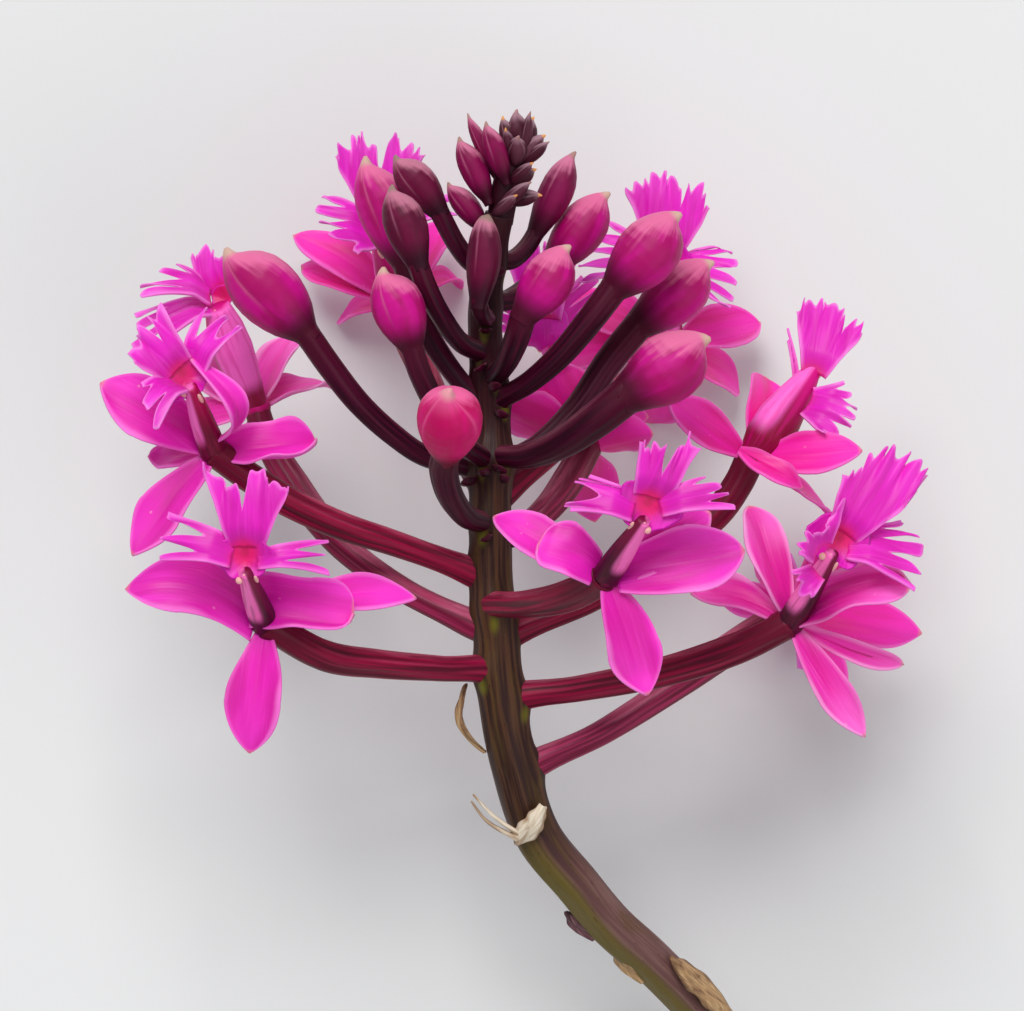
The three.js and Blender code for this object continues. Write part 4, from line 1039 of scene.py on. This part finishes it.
def bud_material(name, foot, body, glow, bleached_and_highlight, beak):
    """Bud: dark foot, magenta body, pale pink shoulders with ragged streaks, which grow paler towards the tip
    and carry a painted highlight where the bud faces the top of the view, and an off-white beak.
    """
    shader = Shader(name)
    along, seam, tint = map(shader.mark, ("along", "mask", "tint"))
    streaks = shader.noise(shader.grain((2.2, 2.2, 0.7)), 1.0, 4.0, 0.2)
    cloud = shader.noise(shader.grain((0.7, 0.7, 0.7)), 1.0, 2.0, 0.3)
    up = shader.towards_top()
    shader.colour = shader.mix(shader.product(shader.span(cloud, 0.4, 0.65), 0.7), body, glow)
    shader.colour = shader.mix(shader.span(along, 0.1, 0.42), foot, shader.colour)
    # Painted highlight: the shoulders go pale where the bud faces the top of the view, where the light comes
    # from, and also towards the tip and along ragged streaks
    reach = shader.math("ADD", shader.product(along, 0.55), shader.product(up, 0.75))
    reach = shader.math("ADD", reach, shader.product(streaks, 0.7))
    pale = shader.span(reach, 0.88, 1.28, 0.0, 0.85)
    shader.lay(shader.product(pale, shader.span(along, 0.16, 0.45)), bleached_and_highlight)
    shader.lay(shader.product(seam, 0.45), bleached_and_highlight)
    shader.paint(along, 0.8, 0.95, bleached_and_highlight, 0.55)
    end = shader.span(along, 0.9, 0.96)
    shader.lay(shader.product(end, shader.span(tint, 0.5, 0.6, 0.15, 1.0)), beak)
    shader.bump(streaks, 0.4, 0.12)
    return shader.finish(
        shader.span(cloud, 0.3, 0.7, 0.46, 0.58), subsurface_weight=0.06,
        subsurface_radius=(1.2 * MM, 0.3 * MM, 0.6 * MM), specular_ior_level=0.22,
    )


def stem_material():
    """Stem: dark brown maroon above and mauve brown below, with olive patches, flecks and fine ribs."""
    shader = Shader("stem_skin")
    along, olive, green_side = map(shader.mark, ("along", "mask", "tint"))
    streaks = shader.noise(shader.grain((2.4, 2.4, 0.35)), 1.0, 5.0, 0.2)
    patches = shader.noise(shader.grain((0.9, 0.9, 0.6)), 1.0, 3.0, 0.6)
    flecks = shader.noise(shader.grain((6, 6, 4)), 1.0, 2.0)
    shader.start(along, 0.52, 0.68, (44, 20, 16), (104, 68, 66))
    lighter = shader.mix(shader.span(along, 0.52, 0.68), (88, 56, 34), (134, 98, 92))
    shader.paint(streaks, 0.4, 0.66, lighter, 0.75)
    shader.paint(patches, 0.5, 0.72, (86, 66, 22), 0.45)
    shader.paint(green_side, 0.1, 1.0, (104, 92, 26), 0.8)
    shader.paint(along, 0.3, 0.12, (46, 2, 18), 0.9)
    rough_olive = shader.math("ADD", olive, shader.product(patches, 0.5))
    shader.paint(rough_olive, 0.5, 1.3, (104, 98, 18))
    shader.paint(flecks, 0.66, 0.74, (40, 16, 14), 0.6)
    shader.paint(streaks, 0.7, 0.8, (160, 122, 100), 0.45)
    shader.bump(streaks, 0.55, 0.2)
    return shader.finish(shader.span(patches, 0.3, 0.7, 0.42, 0.6), specular_ior_level=0.2)


def bract_material(name, body, worn, fibre):
    """Dried bract: papery, with fibres along it and ragged brown margins."""
    shader = Shader(name)
    edge, along = map(shader.mark, ("edge", "along"))
    fibres = shader.noise(shader.grain((8, 1.5, 1)), 1.0, 4.0, 0.2)
    patches = shader.noise(shader.grain(), 1.2, 3.0, 0.4)
    shader.start(fibres, 0.4, 0.65, body, fibre)
    shader.paint(patches, 0.45, 0.65, worn, 0.8)
    shader.lay(shader.product(shader.span(edge, 0.7, 1.0), 0.6), worn)
    shader.lay(shader.product(shader.span(along, 0.8, 1.0), 0.6), worn)
    shader.bump(fibres, 0.6, 0.15)
    return shader.finish(0.8)


# Materials, with their colours from the darkest to the palest
PETAL_FRONT = petal_material("petal_front", (214, 0, 156), (236, 0, 182), (250, 54, 204), (255, 124, 216))
PETAL_REAR = petal_material("petal_rear", (226, 0, 132), (246, 0, 166), (255, 44, 190), (255, 112, 204), 0.15)
PETAL_SIDE = petal_material("petal_side", (222, 10, 150), (244, 44, 184), (254, 112, 208), (255, 160, 220))
LIP_FRONT = lip_material(
    "lip_front", (212, 0, 166), (229, 0, 186), (246, 58, 208), (255, 130, 225), (226, 0, 110)
)
LIP_REAR = lip_material(
    "lip_rear", (212, 0, 168), (232, 8, 192), (246, 76, 214), (255, 146, 228), (214, 0, 112)
)
COLUMN_DARK = column_material("column_dark", (64, 2, 30), (120, 4, 56), (250, 112, 188))
COLUMN_RED = column_material("column_red", (96, 0, 36), (170, 0, 76), (255, 112, 200))
COLUMN_PALE = column_material("column_pale", (136, 0, 52), (216, 0, 132), (255, 104, 204))
# Stalks: dark, ruby, the painted highlight's colour, and the top end's colour, which under a flower is
# painted shade
STALK_RUBY = stalk_material("stalk_ruby", (82, 0, 30), (144, 0, 54), (188, 76, 106), (96, 0, 36))
STALK_DUSTY = stalk_material("stalk_dusty", (104, 10, 46), (160, 40, 84), (208, 116, 144), (104, 4, 44))
STALK_BLACK = stalk_material("stalk_black", (42, 0, 20), (76, 4, 38), (128, 60, 78), (72, 0, 32))
BUD_MAGENTA = bud_material(
    "bud_magenta", (74, 0, 33), (168, 0, 96), (208, 0, 142), (228, 112, 158), (206, 168, 152)
)
BUD_ROSE = bud_material(
    "bud_rose", (110, 0, 44), (190, 0, 88), (218, 0, 116), (240, 104, 160), (226, 150, 160)
)
BUD_DARK = bud_material("bud_dark", (48, 0, 22), (84, 0, 40), (110, 0, 56), (198, 118, 144), (150, 120, 112))
BUD_PLUM = bud_material("bud_plum", (58, 0, 26), (112, 0, 58), (142, 0, 80), (212, 120, 154), (170, 128, 120))
BUD_TIP = bud_material("bud_tip", (46, 2, 18), (66, 14, 34), (100, 50, 66), (166, 126, 138), (226, 156, 84))
STEM_SKIN = stem_material()
BRACT_PAPER = bract_material("bract_paper", (214, 196, 170), (150, 112, 78), (236, 224, 204))
BRACT_TAN = bract_material("bract_tan", (168, 128, 86), (98, 62, 40), (204, 170, 124))
BRACT_MAUVE = bract_material("bract_mauve", (92, 52, 62), (60, 34, 40), (140, 98, 100))

REAR = (PETAL_REAR, LIP_REAR, COLUMN_PALE, STALK_RUBY)
REAR_DUSTY = (PETAL_REAR, LIP_REAR, COLUMN_PALE, STALK_DUSTY)
FLOWER_LOOKS = [
    (PETAL_FRONT, LIP_FRONT, COLUMN_DARK, STALK_RUBY),
    (PETAL_FRONT, LIP_REAR, COLUMN_RED, STALK_RUBY),
    (PETAL_SIDE, LIP_REAR, COLUMN_PALE, STALK_DUSTY),
    REAR, REAR, REAR_DUSTY, REAR,
    (PETAL_FRONT, LIP_FRONT, COLUMN_DARK, STALK_RUBY),
    (PETAL_SIDE, LIP_FRONT, COLUMN_DARK, STALK_RUBY),
    REAR_DUSTY,
]
BUD_LOOKS = {2: BUD_DARK, 3: BUD_DARK, 5: BUD_ROSE, 6: BUD_DARK, 7: BUD_PLUM}
BRACT_LOOKS = {
    "stem": BRACT_PAPER, "hanging": BRACT_TAN, "mauve": BRACT_MAUVE, "lower": BRACT_TAN, "sheath": BRACT_TAN,
}


def build_flower(index, flower):
    """A flower in three pieces: tepals, lip and column; and its stalk, which widens into the ovary."""
    rng = np.random.default_rng(SEED + index)
    name, stalk = f"flower_{index + 1:02d}", f"pedicel_{index + 1:02d}"
    petal, lip, centre, skin = FLOWER_LOOKS[index]
    base, mouth, front = (vec(flower[key]) for key in ("base", "mouth", "front"))
    surface = Surface()
    for tip, width, bow, cup, *own in flower["tepals"]:
        tepal(surface, base, vec(tip), front, width, bow, cup, rng, **(own[0] if own else {}))
    surface.object(name + "_tepals", petal, name)
    surface = Surface()
    lip_front = vec(flower.get("lip_front", flower["front"]))
    _, *directions = blade_frame(mouth, vec(flower["lobes"][0][0]), lip_front)
    heart = mouth + directions[0] * DISC_FORWARD
    for order, lobe in enumerate(flower["lobes"]):
        lip_lobe(surface, heart, lobe, lip_front, "side" if order else "middle", rng)
    disc(surface, heart, *directions, flower.get("disc", DISC_RADIUS), rng)
    surface.object(name + "_lip", lip, name)
    surface = Surface()
    column(surface, flower)
    surface.object(name + "_column", centre, name)
    surface = Surface()
    crown = min(OVARY_RADIUS * CROWN_SHARE, CROWN_OVER_TUBE * flower.get("tube", COLUMN_RADII)[0])
    radii = [STALK_RADIUS, STALK_RADIUS, (STALK_RADIUS + OVARY_RADIUS) / 2, OVARY_RADIUS, crown]
    tube(surface, rooted(flower), radii, OVARY_GRID, ridges(OVARY_FLUTE))
    surface.object(stalk + "_skin", skin, stalk)


def build_bud(index, grown):
    """A large bud and its stalk, which reaches into it."""
    name, stalk = f"bud_{index + 1:02d}", f"bud_stalk_{index + 1:02d}"
    base, tip, foot = grown["base"], grown["tip"], grown["foot"]
    surface = Surface()
    bud(surface, base, tip, grown["radius"], BUD_GRID, foot * BUD_FOOT_SHARE, grown["blunt"])
    surface.object(name + "_skin", BUD_LOOKS.get(index, BUD_MAGENTA), name)
    surface = Surface()
    radii = [BUD_STALK_RADIUS + (foot - BUD_STALK_RADIUS) * swell for swell in BUD_STALK_SWELL]
    end = vec(base) + unit(vec(tip) - vec(base)) * STALK_REACH
    tube(surface, [*rooted(grown), end], radii, BUD_STALK_GRID, ridges(BUD_STALK_FLUTE))
    surface.object(stalk + "_skin", STALK_BLACK, stalk)


def build_bract(name, root, tip, facing, width, bow, cup):
    """A dried bract, with the loose strands that it has."""
    surface = Surface()
    root = vec(root)
    length, axis, normal, side = blade_frame(root, vec(tip), vec(facing))
    t, u = blade_grid(BRACT_GRID)
    half = width / 2 * tepal_outline(t) * (1 + 0.08 * np.sin(23 * t + 2 * u))
    rise = bow * 4 * t * (1 - t) + cup * u**2 * half + 0.12 * np.sin(9 * t + 4 * u)
    middle = blade_points(root, axis, side, normal, length * t, u * half, rise)
    grain = np.stack([u * half, 0.3 * length * t + 0 * u, 0 * t * u], -1)
    sheet(surface, middle, 0.3 + 0 * t * u, grain, edge=np.abs(u) + 0 * t, along=t + 0 * u)
    for strand in STRANDS.get(name, []):
        tube(surface, strand, STRAND_RADII, STRAND_GRID)
    surface.object(f"bract_{name}_skin", BRACT_LOOKS[name], f"bract_{name}")


for index, flower in enumerate(FLOWERS):
    build_flower(index, flower)
for index, grown in enumerate(BUDS):
    build_bud(index, grown)

rng = np.random.default_rng(SMALL_SEED)
for index, (base, tip, radius) in enumerate(SMALL_BUDS):
    name = f"small_bud_{index + 1:02d}"
    surface = Surface()
    bud(surface, base, tip, radius, SMALL_BUD_GRID)
    surface.object(name + "_skin", BUD_PLUM, name)
surface = Surface()
tube(surface, TIP_PATH, TIP_RADII, TIP_GRID, along=TIP_TUBE_MARK)
for base, tip, radius in TIP_CROWD:
    bud(surface, base, tip, radius, TIP_GRID, beak=rng.uniform(0.2, 1))
surface.object("tip_cluster_skin", BUD_TIP, "tip_cluster")

surface = Surface()
tube(surface, STEM_PATH, STEM_RADII, STEM_GRID, stem_shape, mask=olive_mark, tint=lower_left)
surface.object("rachis_skin", STEM_SKIN, "rachis")

for name, bract in BRACTS.items():
    build_bract(name, *bract)

# Small pointed bracts below the stalks that leave the upper stem
surface = Surface()
for start, onward in INSERTIONS:
    if start[1] > SCALE_FROM:
        root = start + SCALE_SEAT
        way = (onward + [0, rng.uniform(-0.5, 0.1), 0.5]) * rng.uniform(1.2, 1.8)
        scale_leaf(surface, root, root + way, rng)
surface.object("rachis_scales", STALK_BLACK, "rachis")

# Camera: straight down, with a long lens; its middle and the width it takes in are at the stem's height
VIEW_MIDDLE = np.array([1.2, 9.45, 30.0])
VIEW_WIDTH = 102.4
VIEW_DISTANCE = 1600
SENSOR = 36
camera_data = bpy.data.cameras.new("camera")
camera_data.sensor_width = SENSOR
camera_data.lens = SENSOR * VIEW_DISTANCE / VIEW_WIDTH
camera_data.clip_start, camera_data.clip_end = 0.1, 10
camera = put("camera", camera_data)
camera.location = (VIEW_MIDDLE + CENTRE + [0, 0, VIEW_DISTANCE]) * MM
bpy.context.scene.camera = camera

# A pale floor, with half its side in metres, and soft light
HALF = 1.5
floor_mesh = bpy.data.meshes.new("floor")
corners = [(-HALF, -HALF, 0), (HALF, -HALF, 0), (HALF, HALF, 0), (-HALF, HALF, 0)]
floor_mesh.from_pydata(corners, [], [(0, 1, 2, 3)])
floor_shader = Shader("floor_paper")
paper = floor_shader.noise(floor_shader.node("ShaderNodeNewGeometry").outputs["Position"], 3.0)
floor_shader.colour = floor_shader.mix(paper, (222, 222, 220), (228, 228, 226))
floor_mesh.materials.append(floor_shader.finish(0.9))
floor = put("floor", floor_mesh)


def area_light(name, place, size, energy):
    """A square light that faces the middle of the view."""
    data = bpy.data.lights.new(name, "AREA")
    data.size = size
    data.energy = energy
    lamp = put(name, data)
    lamp.location = place
    lamp.rotation_mode = "QUATERNION"
    from_lamp = Vector((VIEW_MIDDLE + CENTRE) * MM) - lamp.location
    lamp.rotation_quaternion = from_lamp.to_track_quat("-Z", "Y")


area_light("key", (-0.35, 1.5, 2.1), 1.3, 48.0)
area_light("fill", (1.4, -0.8, 1.8), 2.0, 12.0)
world = bpy.data.worlds.new("sky")
world.use_nodes = True
sky = world.node_tree.nodes["Background"]
sky.inputs["Color"].default_value = (0.86, 0.9, 0.95, 1)
sky.inputs["Strength"].default_value = 0.5
bpy.context.scene.world = world
bpy.context.scene.view_settings.view_transform = "Standard"

bpy.context.view_layer.update()
